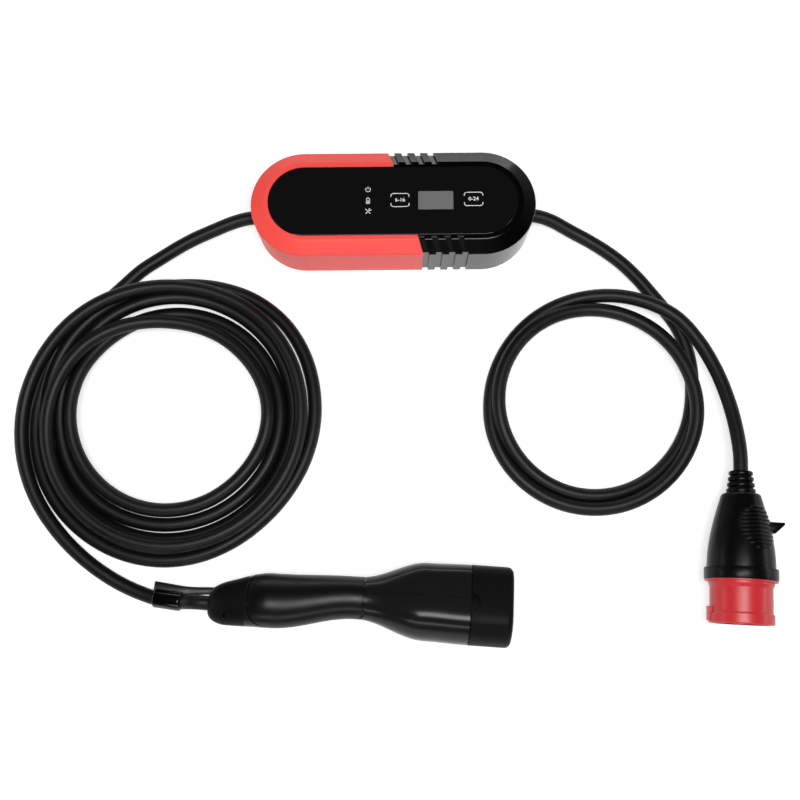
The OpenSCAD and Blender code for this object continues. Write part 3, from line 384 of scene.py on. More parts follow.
def tubeRings(line, radius, sides):
    p = [Vector(q) for q in line]
    rings, across = [], Vector((0, 0, 1))
    for i in range(len(p)):
        along = (p[min(i + 1, len(p) - 1)] - p[max(i - 1, 0)]).normalized()
        across = (across - along * across.dot(along)).normalized()
        other = along.cross(across)
        turns = [2 * math.pi * j / sides for j in range(sides)]
        rings.append([p[i] + (across * math.cos(a) + other * math.sin(a)) * radius for a in turns])
    return rings


cable = dict(diameter=13.6, lie=7.0, sides=20, step=5, sharp=60)
lie = cable["lie"]
carCable = dict(
    lead=[(-103, 0, 16), (-125, 0, 16), (-140, -0.2, 16), (-150, -1.4, 15.3), (-160, -4, 13.5),
          (-180, -11.7, 9), (-205, -22.8, lie), (-235, -40.6, lie), (-255, -54, lie), (-270, -68, lie)],
    coilAt=(-221, -204), step=15,
    held=235,  # the length led by the sleeve and the handle
    clear=0.1, apart=8, rounds=160,  # air between turns, near points left out, rounds of smoothing
    # angle, radius
    turns=[(117, 138), (128, 132), (145, 129.5), (180, 131), (225, 135), (270, 138.5), (320, 136.5),
           (360, 142), (405, 146), (450, 133), (500, 124), (540, 119), (630, 119), (720, 121.5), (765, 122.5),
           (810, 120), (855, 111.5), (900, 104.5), (945, 105), (990, 105), (1080, 109), (1170, 104),
           (1215, 97), (1260, 93.5), (1305, 91.5), (1350, 91.5), (1395, 93.5), (1440, 98), (1485, 94),
           (1530, 93), (1575, 103), (1620, 113), (1665, 121), (1710, 126), (1755, 128), (1800, 129.5),
           (1845, 131), (1890, 128.5), (1930, 130.5), (1980, 140), (2020, 148.5)],
    tail=[(-318.5, -320.2, lie), (-299, -339.1, lie), (-276.3, -355.9, lie), (-258.5, -366, lie),
          (-243.5, -372.6, lie + 0.2), (-229, -377.6, 8.6), (-203, -381.6, 12)])
supplyCable = dict(
    lead=[(103, 0, 16), (125, 0, 16), (140, -0.3, 16), (150, -2, 15.3), (160, -5.4, 13.5), (178, -14.5, 9),
          (197, -24.7, lie), (213.6, -35.7, lie), (229.5, -48.6, lie), (244.5, -64.5, lie),
          (257.6, -81.3, lie), (270, -98, lie), (281, -115, lie)],
    coilAt=(196, -191.5), firstAngle=0, step=-15, rounds=6,
    entry=[(22, 103.6, lie), (10, 98.4, lie)],  # angle, radius, height
    # radius, height
    turns=[(95.6, lie), (93.2, lie), (91.8, lie), (91.2, lie), (91.4, lie), (92, lie), (92.8, lie),
           (93.4, lie), (93.8, lie), (94.2, 8.5), (94.8, 12.5), (95.2, 16.5), (95.2, 18.4), (94.8, 18.6),
           (94.2, 18.6), (93.6, 18), (93, 16.5), (92.6, 14.5), (92.4, 13), (92.3, 13), (92.3, 14.5),
           (92.5, 17), (93, 19.6), (94.2, 21), (96.4, 21.2), (98.4, 20.4), (99.9, 18.2), (101.6, 15.4),
           (103.2, 13), (104.6, 11), (105.6, 9.6), (106.4, 9.2), (106.8, 9.2), (106.8, 9.2), (106.2, 9),
           (104.8, 8), (102.6, lie), (101.2, lie), (100.6, lie), (101, lie),
           (102.2, 7.4), (104, 9), (106.2, 12), (108.8, 16.4)],
    exit=[(-658, 111.2, 20.6)],
    tail=[(277.4, -109.6, 21.8), (297.4, -133.4, 21.4), (312.6, -163.4, 22.5), (322.2, -196.6, 26),
          (326.6, -228, 30.4), (327.4, -252.5, 33.4)],
    plugAt=(326.5, -265.5, 33.6), plugYaw=-3.9, inPlug=(0, 22, 41))


def onCircle(center, angle, radius, height):
    a = math.radians(angle)
    return (center[0] + radius * math.cos(a), center[1] + radius * math.sin(a), height)


def carLine(intoConnector):
    c = carCable
    turns = c["turns"]
    angles = np.arange(turns[0][0], turns[-1][0] + 1, c["step"])
    radii = flowThrough([r for a, r in turns], [a for a, r in turns], angles)
    coil = [onCircle(c["coilAt"], a, r, lie) for a, r in zip(angles, radii)]
    line = evenLine(c["lead"] + coil + c["tail"] + intoConnector, cable["step"])
    free = len(line) - int(c["held"] / cable["step"])
    line[:free] = laidDown(line[:free], cable["diameter"] + c["clear"], c["apart"], c["rounds"])
    return line


def supplyLine():
    c = supplyCable
    turns = [(c["firstAngle"] + c["step"] * i, r, z) for i, (r, z) in enumerate(c["turns"])]
    winding = [onCircle(c["coilAt"], *row) for row in c["entry"] + turns + c["exit"]]
    yaw, at = math.radians(c["plugYaw"]), c["plugAt"]
    plugEnd = [(at[0] + s * math.sin(yaw), at[1] - s * math.cos(yaw), at[2]) for s in c["inPlug"]]
    line = evenLine(c["lead"] + winding + c["tail"] + plugEnd, cable["step"])
    for _ in range(c["rounds"]):
        line[:, 2] = np.maximum(weighted(line[:, 2]), lie)
    return line


def makeCable(name, line):
    sides = cable["sides"]
    bm = loftRings(tubeRings(line, cable["diameter"] / 2, sides))
    bm.verts.index_update()
    uv = bm.loops.layers.uv.new("run")
    for face in bm.faces:
        ring = [divmod(loop.vert.index, sides) for loop in face.loops]
        wraps = max(j for i, j in ring) - min(j for i, j in ring) > sides / 2
        for loop, (i, j) in zip(face.loops, ring):
            place = j + sides if wraps and j < sides / 2 else j
            loop[uv].uv = (place / sides, i * cable["step"] * mm)
    return newPiece(name, meshFrom(bm, name, cable["sharp"]), "cable_jacket")


connector = dict(
    at=(67, -387.4, 36.6), roll=-17, yaw=-4.5, sides=120, dPower=12, flatDrop=2.5, headLen=97, gripEnd=-205,
    tailEnd=-242, shell=3, lip=0.5, capLen=38.6, capRound=5, collarInset=4.2, capPlay=0.35, parting=-3.2,
    cableAt=(-255, -242, -224, -205, -183, -157, -128, -95),
    # place along the axis, middle's height, half width, up, down, how flat the top is, sideways
    stations=[(-242, -19.5, 19.5, 16.5, 16.5, 0, -9.6), (-183, -6.5, 25.4, 21, 21, 0, -7.2),
              (-102.5, 0, 19.5, 18.5, 18.5, 0, -1), (-40, 0, 35.6, 31, 35.6, 1, 0),
              (0, 0, 36.6, 31, 36.6, 1, 0)])
layConnector = (Matrix.Translation(Vector(connector["at"]) * mm)
                @ Matrix.Rotation(math.radians(connector["yaw"]), 4, "Z")
                @ Matrix.Rotation(math.radians(connector["roll"]), 4, "X"))


def stationAt(x):
    rows = connector["stations"]
    x = min(max(x, rows[0][0]), rows[-1][0])
    a, b = next((p, q) for p, q in zip(rows, rows[1:]) if x <= q[0])
    t = (1 - math.cos(math.pi * (x - a[0]) / (b[0] - a[0]))) / 2
    return [x] + [p + (q - p) * t for p, q in zip(a[1:], b[1:])]


def sectionRing(x, thin=0, at=None, drop=0):
    # the housing's section at x, thinned all round; at moves it along the axis, drop lowers the flat
    _, mid, wide, top, bottom, flat, side = stationAt(x)
    wide, bottom = wide - thin, bottom - thin
    top = top - thin - drop * flat
    n = connector["dPower"]
    ring = []
    for j in range(connector["sides"]):
        a = 2 * math.pi * (j + 0.5) / connector["sides"]
        c, up = math.cos(a), math.sin(a)
        oval = 1 / math.hypot(c / wide, up / (top if up > 0 else bottom))
        clipped = ((1 / wide) ** n + (up / top) ** n) ** (-1 / n) if up > 0 else oval
        r = oval + (clipped - oval) * flat
        ring.append((x if at is None else at, side + r * c, mid + r * up))
    return ring


def inFrame(point):
    return tuple(layConnector @ (Vector(point) * mm) / mm)


def cableInHandle():
    line = []
    for x in connector["cableAt"]:
        _, mid, _, _, _, _, side = stationAt(x)
        line.append(inFrame((x, side, mid)))
    return line


carRoute, supplyRoute = carLine(cableInHandle()), supplyLine()
carCord, supplyCord = makeCable("car_cable", carRoute), makeCable("supply_cable", supplyRoute)
print("cables laid", len(carRoute), len(supplyRoute))


def carve(obj, tool, how):  # bakes a boolean into the mesh
    step = obj.modifiers.new("carve", "BOOLEAN")
    step.object, step.operation, step.solver = tool, how, "EXACT"
    done = bpy.data.meshes.new_from_object(obj.evaluated_get(bpy.context.evaluated_depsgraph_get()))
    obj.modifiers.clear()
    obj.data = done
    return obj


def toolFrom(bm):
    obj = bpy.data.objects.new("tool", meshFrom(bm, "tool"))
    bpy.context.collection.objects.link(obj)
    return obj


def discard(*tools):
    for tool in tools:
        bpy.data.objects.remove(tool)


def walledLoft(places, out, wall):
    # a closed wall along the handle: outside grown by out, inside thinned by wall
    lip = connector["lip"]
    inner = [places[0] + lip] + list(places[1:-1]) + [places[-1] - lip]
    outside = [sectionRing(x, -out, drop=connector["flatDrop"]) for x in places]
    inside = [sectionRing(x, wall) for x in reversed(inner)]
    return loftRings(outside + inside, closed=True)


grip = dict(front=-97.3, rear=-204.6, lowFront=-3.5, lowRear=-9, frontCorner=13, frontSteps=8, rearCorner=30,
            rearSteps=10, top=60, reach=70, deep=2.2, bed=2.6, bedOut=4, gap=1.4, proud=0.1, behind=4,
            ahead=6, rings=56)


def gripPrism(grow):
    # the soft insert's outline seen from the side, pushed through the handle
    g = grip
    rear, front = g["rear"] - grow, g["front"] + grow
    corners = [(rear, g["top"]), (rear, g["lowRear"] - grow), (front, g["lowFront"] - grow),
               (front, g["top"])]
    bm = bmesh.new()
    verts = [bm.verts.new((x * mm, -g["reach"] * mm, z * mm)) for x, z in corners]
    bmesh.ops.contextual_create(bm, geom=verts)
    for vert, end in ((verts[1], "rear"), (verts[2], "front")):
        bmesh.ops.bevel(bm, geom=[vert], offset=g[end + "Corner"] * mm, affect="VERTICES",
                        segments=g[end + "Steps"], profile=0.5, material=-1)
    pushed(bm, (0, 2 * g["reach"] * mm, 0))
    return toolFrom(bm)


def laidPiece(name, obj, slot, body="charger", look=None, sharp=32):
    # a modelled shape goes from the connector's own axes to its place on the floor
    mesh = obj.data
    bpy.data.objects.remove(obj)
    mesh.name = name
    mesh.transform(layConnector)
    return newPiece(name, smoothed(mesh, sharp), slot, body, look)


handle = dict(rings=46, rearGap=0.05, faceGap=0.3, seam=0.14)


def makeHandle():
    c, g, h = connector, grip, handle
    rear = np.linspace(c["gripEnd"] + h["rearGap"], -c["headLen"], h["rings"])
    head = np.linspace(-c["headLen"], -h["faceGap"], h["rings"])
    body = list(rear) + list(head)[1:]
    gripPlaces = list(np.linspace(g["rear"] - g["behind"], g["front"] + g["ahead"], g["rings"]))
    outline, wider = gripPrism(0), gripPrism(g["gap"])
    bed = carve(toolFrom(walledLoft(gripPlaces, g["bedOut"], g["bed"])), wider, "INTERSECT")
    soft = carve(toolFrom(walledLoft(gripPlaces, g["proud"], g["deep"])), outline, "INTERSECT")
    halves = []
    for name, side in (("connector_left_half", 1), ("connector_right_half", -1)):
        bm = walledLoft(body, 0, c["shell"])
        everything = bm.verts[:] + bm.edges[:] + bm.faces[:]
        seam = (0, (c["parting"] + side * h["seam"]) * mm, 0)
        cut = bmesh.ops.bisect_plane(bm, geom=everything, plane_co=seam, plane_no=(0, side, 0),
                                     clear_inner=True)["geom_cut"]
        bmesh.ops.holes_fill(bm, edges=[e for e in cut if isinstance(e, bmesh.types.BMEdge)])
        bmesh.ops.recalc_face_normals(bm, faces=bm.faces)
        halves.append(laidPiece(name, carve(toolFrom(bm), bed, "DIFFERENCE"), "black_plastic"))
    discard(bed, outline, wider)
    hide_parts("connector_left_shell")
    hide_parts("connector_right_shell")
    softGrip = laidPiece("connector_soft_grip", soft, "black_rubber")
    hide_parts("connector_grip")
    return halves + [softGrip]


tailPiece = dict(round=19, roundIn=11, endRings=12, bodyAfter=2, bodyRings=14, bore=7.3,
                 hole=(-157.6, -395.1), top=31.5, holeR=2.3, holeDeep=6, drill=40, drillSides=24)


def boreRing(x, radius):
    _, mid, _, _, _, _, side = stationAt(x)
    sides = connector["sides"]
    turns = [2 * math.pi * (j + 0.5) / sides for j in range(sides)]
    return [(x, side + radius * math.cos(a), mid + radius * math.sin(a)) for a in turns]


def makeTail():
    c, t = connector, tailPiece
    rings = []
    for a in np.radians(np.linspace(0, 90, t["endRings"])):  # rounded end
        x = c["tailEnd"] + t["round"] * (1 - math.cos(a))
        rings.append(sectionRing(x, t["roundIn"] * (1 - math.sin(a))))
    rounded = c["tailEnd"] + t["round"]
    rings += [sectionRing(x) for x in np.linspace(rounded + t["bodyAfter"], c["gripEnd"], t["bodyRings"])]
    rings += [boreRing(x, t["bore"]) for x in (c["gripEnd"], rounded, c["tailEnd"])]
    obj = toolFrom(loftRings(rings, closed=True))
    bm = rod(t["holeR"], t["drill"], t["drillSides"])
    above = Vector((0, 0, t["drill"] / 2 * mm - t["holeDeep"] * mm))
    bmesh.ops.translate(bm, vec=Vector((*t["hole"], t["top"])) * mm + above, verts=bm.verts)
    bmesh.ops.transform(bm, matrix=layConnector.inverted(), verts=bm.verts)
    drill = toolFrom(bm)
    obj = carve(obj, drill, "DIFFERENCE")
    discard(drill)
    tail = laidPiece("connector_tail_piece", obj, "black_plastic", look="matt_black")
    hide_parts("connector_tail")
    return tail


capLook = dict(start=0.45, rim=0.4, sideFrom=4, sideRings=8, cornerTurns=(10, 90), cornerRings=9,
               faceAt=(12, 20, 25), dome=0.01, floor=36.0, floorDish=((25, 0.3), (16, 0.2)), midway=20,
               notchR=8.2, notchSide=-6.6, notchUp=45, notchLen=60, notchSides=48)


def makeCap():
    c, k = connector, capLook
    inside, rim, start = c["collarInset"] - c["capPlay"], k["rim"], k["start"]
    # thinned by, place along the axis
    outside = [(rim, start), (rim * roundShare, start + rim * roundShare), (0, start + rim)]
    outside += [(0, x) for x in np.linspace(k["sideFrom"], c["capLen"] - c["capRound"], k["sideRings"])]
    for a in np.radians(np.linspace(*k["cornerTurns"], k["cornerRings"])):
        outside.append((c["capRound"] * (1 - math.cos(a)), c["capLen"] - c["capRound"] * (1 - math.sin(a))))
    outside += [(t, c["capLen"] + t * k["dome"]) for t in k["faceAt"]]
    hollow = [(t, k["floor"] + up) for t, up in k["floorDish"]]
    hollow += [(inside, k["floor"]), (inside, k["midway"]), (inside, start + rim)]
    rings = [sectionRing(0, t, x, c["flatDrop"]) for t, x in reversed(outside)]
    rings += [sectionRing(0, t, x) for t, x in reversed(hollow)]
    obj = toolFrom(loftRings(rings))
    bm = rod(k["notchR"], k["notchLen"], k["notchSides"])
    bmesh.ops.translate(bm, vec=(start * mm, k["notchSide"] * mm, k["notchUp"] * mm), verts=bm.verts)
    notch = toolFrom(bm)
    obj = carve(obj, notch, "DIFFERENCE")
    discard(notch)
    cap = laidPiece("connector_cap", obj, "black_plastic", "cap", "matt_black")
    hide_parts("protective_cap")
    return cap


handlePieces = makeHandle()
tailObj, capObj = makeTail(), makeCap()
print("connector modelled")

tether = dict(
    sleeveFrom=carCable["tail"][-2], sleeveTo=carCable["tail"][-1], sleeveIn=7.0, sleeveOut=8.9,
    sleeveRound=1.6, sleeveSteps=64, thick=2.4, edge=0.8, corner=0.25, step=4,
    # x, y, z, width
    strap=[(-229.5, -367.6, 9.6, 11.5), (-214, -369.6, 9.6, 10), (-200.5, -371.2, 9.2, 8.4),
           (-178, -371.4, 4, 7), (-140, -371, 2.2, 7), (-90, -371.5, 1.8, 7), (-40, -371, 1.8, 7),
           (-10, -368, 1.8, 7), (15, -365.6, 1.8, 7), (50, -366, 1.8, 7), (68.5, -366.6, 1.8, 7)])


def makeSleeve():
    t = tether
    a, b = Vector(t["sleeveFrom"]), Vector(t["sleeveTo"])
    run, r = (b - a).length, t["sleeveRound"]
    flat = t["sleeveOut"] - r
    curve = [(math.sin(q) * r, (1 - math.cos(q)) * r) for q in map(math.radians, range(0, 91, 18))]
    outline = [(t["sleeveIn"], 0)] + [(flat + x, z) for x, z in curve]
    outline += [(flat + x, run - z) for x, z in reversed(curve)] + [(t["sleeveIn"], run)]
    bm = turnedRing(outline, t["sleeveSteps"])
    turn = (b - a).to_track_quat("Z", "Y").to_matrix().to_4x4()
    bmesh.ops.transform(bm, matrix=Matrix.Translation(a * mm) @ turn, verts=bm.verts)
    return meshFrom(bm, "sleeve")


def strapRing(point, ahead, width):
    t = tether
    across = Vector((0, 0, 1)).cross(ahead).normalized()
    rise = ahead.cross(across)
    half, h, r, k = width / 2, t["thick"] / 2, t["edge"], t["corner"]
    side = [(half - r, h), (half - k, h - k), (half, h - r)]
    side += [(half, -h + r), (half - k, -h + k), (half - r, -h)]
    return [point + across * y + rise * z for y, z in side + [(-y, -z) for y, z in side]]


def makeTether():
    t = tether
    rows = np.array(t["strap"], float)
    keys = runAlong(rows[:, :3])
    line = flowThrough(rows, keys, np.linspace(0, keys[-1], int(keys[-1] / t["step"])))
    points = [Vector(row[:3]) for row in line]
    rings = []
    for i, point in enumerate(points):
        ahead = (points[min(i + 1, len(points) - 1)] - points[max(i - 1, 0)]).normalized()
        rings.append(strapRing(point, ahead, line[i][3]))
    bm = loftRings(rings)
    strapFaces = len(bm.faces)
    bm.from_mesh(makeSleeve())
    obj = newPiece("cap_strap", meshFrom(bm, "cap_strap"), "black_rubber", None)
    obj.data.materials.append(finish["strap_black"])
    for face in obj.data.polygons[strapFaces:]:
        face.material_index = 1
    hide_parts("cap_tether")
    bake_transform(obj)
    return obj


strapObj = makeTether()

plug = dict(
    at=supplyCable["plugAt"], yaw=supplyCable["plugYaw"], rear=22, length=69, rearR=18.2, bodyR=31.1,
    edge=1.2, bellRings=40, flangeR=33.6, flangeLen=11, cut=1.0, boreR=10, wall=3,
    ridgeTurns=(-28, 165), patchR=20.5, patchAt=0.46, ridges=11, ridgeH=1.3, ridgeSink=0.6, ridgeFill=0.38,
    ridgeFade=6, ridgeSteps=25, ridgePoints=9, ridgeWidest=0.95,  # widest: share of the bell's radius
    hookAt=25, hookW=14, hookOut=8, hookTip=2, hookLen=10.5, hookSink=4, hookEdge=0.4,
    rimIn=29.9, rimOut=33.1, rimThick=1.6, rimGap=0.1, rimCut=0.5)
layPlug = (Matrix.Translation(Vector(plug["at"]) * mm) @ Matrix.Rotation(math.radians(plug["yaw"]), 4, "Z")
           @ Matrix.Rotation(math.pi / 2, 4, "X"))


def bellRadius(s):
    t = min(max((s - plug["rear"] - plug["edge"]) / (plug["length"] - plug["edge"]), 0), 1)
    return plug["rearR"] + (plug["bodyR"] - plug["rearR"]) * math.sin(math.pi / 2 * t)


def ridgeRings(turn, i):
    # one finger ridge across the bell, dying out at the edge of the round patch
    p = plug
    pitch = 2 * p["patchR"] / p["ridges"]
    away = (i - (p["ridges"] - 1) / 2) * pitch
    at = p["rear"] + p["length"] * p["patchAt"] + away
    half = math.asin(min(math.sqrt(p["patchR"] ** 2 - away ** 2) / bellRadius(at), p["ridgeWidest"]))
    w = pitch * p["ridgeFill"]
    rings = []
    for a in np.linspace(-half, half, p["ridgeSteps"]):
        h = p["ridgeH"] * (1 - (a / half) ** p["ridgeFade"])
        top = [(w * k, h * math.sqrt(max(1 - k * k, 0))) for k in np.linspace(-1, 1, p["ridgePoints"])]
        q = math.radians(90 + turn) - a
        ring = []
        for z, r in [(-w, -p["ridgeSink"])] + top + [(w, -p["ridgeSink"])]:
            out = bellRadius(at + z) + r
            ring.append((out * math.cos(q), out * math.sin(q), at + z))
        rings.append(ring)
    return rings


def makeHook():
    p = plug
    z, out, root = p["rear"] + p["hookAt"], p["bodyR"] + p["hookOut"], p["rearR"] + p["hookSink"]
    corners = [(root, z), (out, z), (out, z + p["hookTip"]), (p["bodyR"] - p["cut"], z + p["hookLen"]),
               (root, z + p["hookLen"])]
    bm = bmesh.new()
    verts = [bm.verts.new((x * mm, -p["hookW"] / 2 * mm, y * mm)) for x, y in corners]
    bmesh.ops.contextual_create(bm, geom=verts)
    pushed(bm, (0, p["hookW"] * mm, 0))
    bmesh.ops.bevel(bm, geom=list(bm.edges), offset=p["hookEdge"] * mm, affect="EDGES", segments=2,
                    profile=0.5, material=-1)
    return meshFrom(bm, "hook")


def makePlugBody():
    p = plug
    flange = p["rear"] + p["length"]
    face = flange + p["flangeLen"]
    places = np.linspace(p["rear"] + p["edge"], flange, p["bellRings"])
    outline = [(p["rearR"] - p["edge"], p["rear"])] + [(bellRadius(s), s) for s in places]
    outline += roundedBand(p["flangeR"], flange, face, p["cut"])
    outline.append((bellRadius(flange) - p["wall"], face))
    outline += [(bellRadius(s) - p["wall"], s) for s in places[::-1]]
    outline += [(p["boreR"], places[0]), (p["boreR"], p["rear"])]
    bm = turnedRing(outline)
    for turn in p["ridgeTurns"]:
        for i in range(p["ridges"]):
            bm.from_mesh(meshFrom(loftRings(ridgeRings(turn, i)), "ridge"))
    bm.from_mesh(makeHook())
    bmesh.ops.transform(bm, matrix=layPlug, verts=bm.verts)
    bell = newPiece("plug_bell", meshFrom(bm, "plug_bell"), slotOf["plug_body"], look="bell_black")
    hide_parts("plug_body")
    low, high = face + p["rimGap"], face + p["rimThick"]
    rim = turnedRing([(p["rimIn"], low), (p["rimOut"], low), (p["rimOut"], high - p["rimCut"]),
                      (p["rimOut"] - p["rimCut"], high), (p["rimIn"], high)])
    bmesh.ops.transform(rim, matrix=layPlug, verts=rim.verts)
    return [bell, newPiece("shroud_rim", meshFrom(rim, "shroud_rim"), "deep_red_plastic")]


boot = dict(length=21.9, boreR=7, rearR=11, taper=3.2, neck=1.7, edge=0.6, lean=0.1, spigotR=9.6, spigot=6,
            rings=(0.6, 6.1, 11.6, 17.1), ringLen=3.3, slotLen=2, slotWidth=13, slotDeep=3.6, cutter=10,
            inside=0.2, endClear=1, sharp=40)  # inside: how far in a face counts as a slot's


def bootRadius(z):  # over the rings
    return boot["rearR"] + boot["taper"] * z / boot["length"]


def makeBoot():
    b = boot
    outline = [(b["boreR"], 0), (b["rearR"] - b["neck"], 0)]
    for start in b["rings"]:
        r, stop = bootRadius(start), start + b["ringLen"]
        outline.append((r - b["neck"], start - b["lean"]))
        outline += roundedBand(r, start, stop, b["edge"])
        outline.append((r - b["neck"], stop + b["lean"]))
    end = b["length"] + b["spigot"]
    outline += [(outline[-1][0], b["length"]), (b["spigotR"], b["length"])]
    outline += [(b["spigotR"], end), (b["boreR"], end)]
    body = toolFrom(turnedRing(outline))
    slots = bmesh.new()
    gap = b["rings"][1] - b["rings"][0] - b["ringLen"]
    size = Matrix.Diagonal((b["slotWidth"] * mm, b["cutter"] * mm, b["slotLen"] * mm, 1))
    for start in b["rings"][1:]:
        row = start - gap / 2
        out = bootRadius(row) - b["slotDeep"] + b["cutter"] / 2
        for side in (1, -1):
            at = Vector((0, side * out, row)) * mm
            bmesh.ops.create_cube(slots, size=1, matrix=Matrix.Translation(at) @ size)
    windows = toolFrom(slots)
    carve(body, windows, "DIFFERENCE")
    body.data.transform(layPlug)
    mesh = smoothed(body.data, b["sharp"])
    made = newPiece("plug_cable_boot", mesh, slotOf["plug_boot"], look="bell_black")
    discard(windows, body)
    # a second, near-black material: painted shade on the floors and ends of the slots
    made.data.materials.append(finish["painted_shade_black"])
    back = layPlug.inverted()
    for face in made.data.polygons:  # floors and ends of the slots
        x, y, z = back @ face.center / mm
        most = bootRadius(z) - b["neck"] - b["inside"]
        sunk = b["boreR"] + b["inside"] < math.hypot(x, y) < most
        face.material_index = int(sunk and z < b["length"] - b["endClear"])
    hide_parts("plug_boot")
    return made


plugPieces = makePlugBody() + [makeBoot()]
print("plug modelled")


def declareCable(cadNodes):
    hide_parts(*cadNodes)


declareCable(["vehicle_cable_lead", "vehicle_cable_coil", "vehicle_cable_tail"])
declareCable(["supply_cable_lead", "supply_cable_loop", "supply_cable_tail"])

for name, node in nodes.items():
    for place in node.material_slots:
        place.material = finish[nodeLook.get(name, slotOf[name])]
print("CAD pieces dressed", len(nodes))

marks = dict(top=58, proud=0.06, lift=0.01, stroke=0.75, icon=0.65,
             frames=[(-2.2, 15.4, -6.4, 7.2), (69.4, 87.3, -6.0, 7.8)], frameCorner=2.4, frameArm=1.2,
             numbers=[("6-16", 6.6, 0.4, 5.4), ("0-24", 78.35, 0.9, 5.4)], numberThick=0.05, numberBold=0.06,
             iconX=-24.5, iconY=dict(power=11.7, battery=0, fault=-11.1))


def arc(cx, cy, r, start, end, count=10):
    turns = np.radians(np.linspace(start, end, count))
    return [(cx + r * math.cos(a), cy + r * math.sin(a)) for a in turns]


icons = dict(  # lines in mm about the middle of each symbol
    power=[arc(0, -0.2, 2.3, 125, 415, 26), [(0, 0.3), (0, 2.7)]],
    battery=[[(-1.6, -2.8), (1.6, -2.8), (1.6, 2.2), (-1.6, 2.2), (-1.6, -2.8)], [(-0.6, 2.9), (0.6, 2.9)],
             [(-0.9, -1.9), (0.9, -1.9)], [(-0.9, -0.9), (0.9, -0.9)], [(-0.9, 0.1), (0.9, 0.1)]],
    fault=[arc(1.9, 1.9, 1.1, 95, 355, 16), [(1.1, 1.1), (-2.5, -2.5)], [(-2.7, 2.7), (-0.5, 0.5)],
           [(0.6, -0.6), (2.3, -2.3)], [(1.4, -1.9), (1.9, -1.4)]])


def strokes(name, lines, width):
    # round-ended ink lines on the panel, from flat paths
    data = bpy.data.curves.new(name, "CURVE")
    data.dimensions = "3D"
    data.bevel_depth = width / 2
    data.bevel_resolution = 2
    data.use_fill_caps = True
    for line in lines:
        path = data.splines.new("POLY")
        path.points.add(len(line) - 1)
        for point, (x, y) in zip(path.points, line):
            point.co = (x, y, 0, 1)
    return inked(name, data)


def inked(name, data):
    obj = bpy.data.objects.new(name, data)
    bpy.context.collection.objects.link(obj)
    mesh = bpy.data.meshes.new_from_object(obj.evaluated_get(bpy.context.evaluated_depsgraph_get()))
    bpy.data.objects.remove(obj)
    low, high = min(v.co.z for v in mesh.vertices), max(v.co.z for v in mesh.vertices)
    flat = marks["proud"] / max(high - low, 1e-6)
    for v in mesh.vertices:
        v.co = Vector((v.co.x, v.co.y, marks["top"] + marks["lift"] + (v.co.z - low) * flat)) * mm
    mesh.name = name
    obj = bpy.data.objects.new(name, mesh)
    bpy.context.collection.objects.link(obj)
    mesh.materials.clear()
    mesh.materials.append(finish["print_white"])
    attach(obj, "charger")
    return obj


def makePanelMarks():
    m = marks
    lines = []
    for x0, x1, y0, y1 in m["frames"]:
        r, a = m["frameCorner"], m["frameArm"]
        upper = arc(x0 + r, y1 - r, r, 180, 90) + arc(x1 - r, y1 - r, r, 90, 0)
        lower = arc(x0 + r, y0 + r, r, 180, 270) + arc(x1 - r, y0 + r, r, 270, 360)
        lines.append([(x0, y1 - r - a)] + upper + [(x1, y1 - r - a)])
        lines.append([(x0, y0 + r + a)] + lower + [(x1, y0 + r + a)])
    strokes("key_frames", lines, m["stroke"])
    lines = []
    for title, y in m["iconY"].items():
        lines += [[(m["iconX"] + right, y + up) for right, up in line] for line in icons[title]]
    strokes("panel_icons", lines, m["icon"])
    for i, (text, tx, ty, size) in enumerate(m["numbers"]):
        data = bpy.data.curves.new("number", "FONT")
        data.body = text
        data.size = size
        data.align_x = "CENTER"
        data.align_y = "CENTER"
        data.extrude = m["numberThick"]
        data.offset = m["numberBold"]
        obj = inked("key_number_%d" % (i + 1), data)
        obj.data.transform(Matrix.Translation((tx * mm, ty * mm, 0)))


makePanelMarks()
print("panel printed")

floorLook = dict(size=6, color=0.62, rough=0.9, glow=0.55)  # size in metres
lamps = [  # name, place, target, width, height, power
    ("keySoftbox", (60, -440, 1500), (0, -180, 0), 900, 480, 21),
    ("backStrip", (0, 1300, 330), (0, -100, 0), 1600, 260, 5),
    ("frontStrip", (0, -1400, 640), (0, -150, 0), 1600, 180, 5),
    ("leftStrip", (-1300, -250, 300), (-100, -200, 0), 900, 200, 2.5),
    ("rightStrip", (1300, -250, 300), (100, -200, 0), 900, 200, 2.5)]


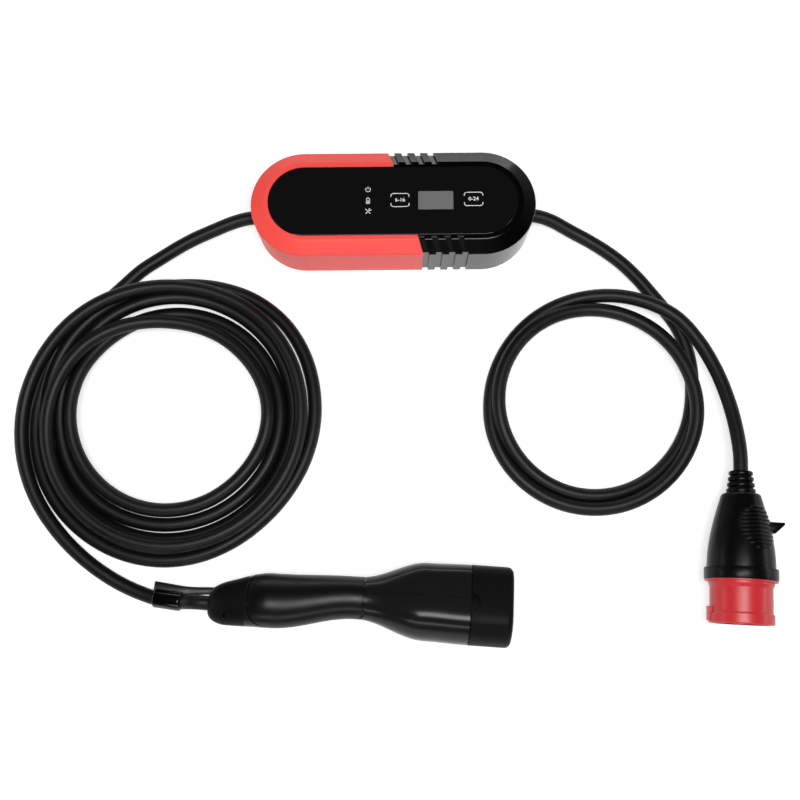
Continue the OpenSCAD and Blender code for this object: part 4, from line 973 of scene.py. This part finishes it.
def makeFloor():
    bm = bmesh.new()
    bmesh.ops.create_grid(bm, x_segments=1, y_segments=1, size=floorLook["size"] / 2)
    mesh = bpy.data.meshes.new("floor")
    bm.to_mesh(mesh)
    bm.free()
    obj = bpy.data.objects.new("floor", mesh)
    bpy.context.collection.objects.link(obj)
    mat = bpy.data.materials.new("white_floor")
    mat.use_nodes = True
    tree = mat.node_tree
    shader = tree.nodes["Principled BSDF"]
    shader.inputs["Roughness"].default_value = floorLook["rough"]
    shader.inputs["Specular IOR Level"].default_value = 0.0
    shader.inputs["Base Color"].default_value = (floorLook["color"],) * 3 + (1,)
    shader.inputs["Emission Color"].default_value = (1, 1, 1, 1)
    path = addNode(tree, "LightPath")
    seen = addNode(tree, "Math", operation="MAXIMUM")
    clear = addNode(tree, "Math", operation="MAXIMUM")
    glow = addNode(tree, "Math", {1: floorLook["glow"]}, operation="MULTIPLY")
    wire(tree, (path, "Is Camera Ray", seen, 0), (path, "Is Glossy Ray", seen, 1), (seen, 0, clear, 0),
         (path, "Is Transmission Ray", clear, 1), (clear, 0, glow, 0), (glow, 0, shader, "Emission Strength"))
    mesh.materials.append(mat)


def makeLight():
    for name, place, target, wide, high, power in lamps:
        data = bpy.data.lights.new(name, "AREA")
        data.shape = "RECTANGLE"
        data.size = wide * mm
        data.size_y = high * mm
        data.energy = power
        obj = bpy.data.objects.new(name, data)
        bpy.context.collection.objects.link(obj)
        way = (Vector(target) - Vector(place)) * mm
        turn = way.to_track_quat("-Z", "Y").to_matrix().to_4x4()
        obj.matrix_world = Matrix.Translation(Vector(place) * mm) @ turn


# greys of the room and how high they lie, and its strength at the front and at the rear
backdrop = dict(low=0.6, middle=0.18, middleAt=0.3, high=0.01, highAt=0.55, front=0.15, frontAt=-0.4,
                rear=1.0, rearAt=0.3)


def makeBackdrop():
    b = backdrop
    world = bpy.data.worlds.new("studio")
    bpy.context.scene.world = world
    world.use_nodes = True
    tree = world.node_tree
    back = tree.nodes["Background"]
    out = tree.nodes["World Output"]
    seen = addNode(tree, "Background", {"Color": (1, 1, 1, 1), "Strength": 1.0})
    path = addNode(tree, "LightPath")
    mix = addNode(tree, "MixShader")
    place = addNode(tree, "TexCoord")
    split = addNode(tree, "SeparateXYZ")
    ramp = addNode(tree, "ValToRGB")
    ahead = addNode(tree, "MapRange", {"From Min": b["frontAt"], "From Max": b["rearAt"],
                                       "To Min": b["front"], "To Max": b["rear"]})
    stops = ramp.color_ramp.elements
    stops[0].position = 0.0
    stops[0].color = (b["low"],) * 3 + (1,)
    stops[1].position = b["highAt"]
    stops[1].color = (b["high"],) * 3 + (1,)
    stops.new(b["middleAt"]).color = (b["middle"],) * 3 + (1,)
    wire(tree, (place, "Generated", split, 0), (split, "Z", ramp, 0), (ramp, "Color", back, "Color"),
         (split, "Y", ahead, "Value"), (ahead, 0, back, "Strength"),
         (path, "Is Camera Ray", mix, 0), (back, 0, mix, 1), (seen, 0, mix, 2), (mix, 0, out, "Surface"))


makeFloor()
makeLight()
makeBackdrop()
bpy.context.scene.view_settings.view_transform = "Standard"
print("floor and lamps set")
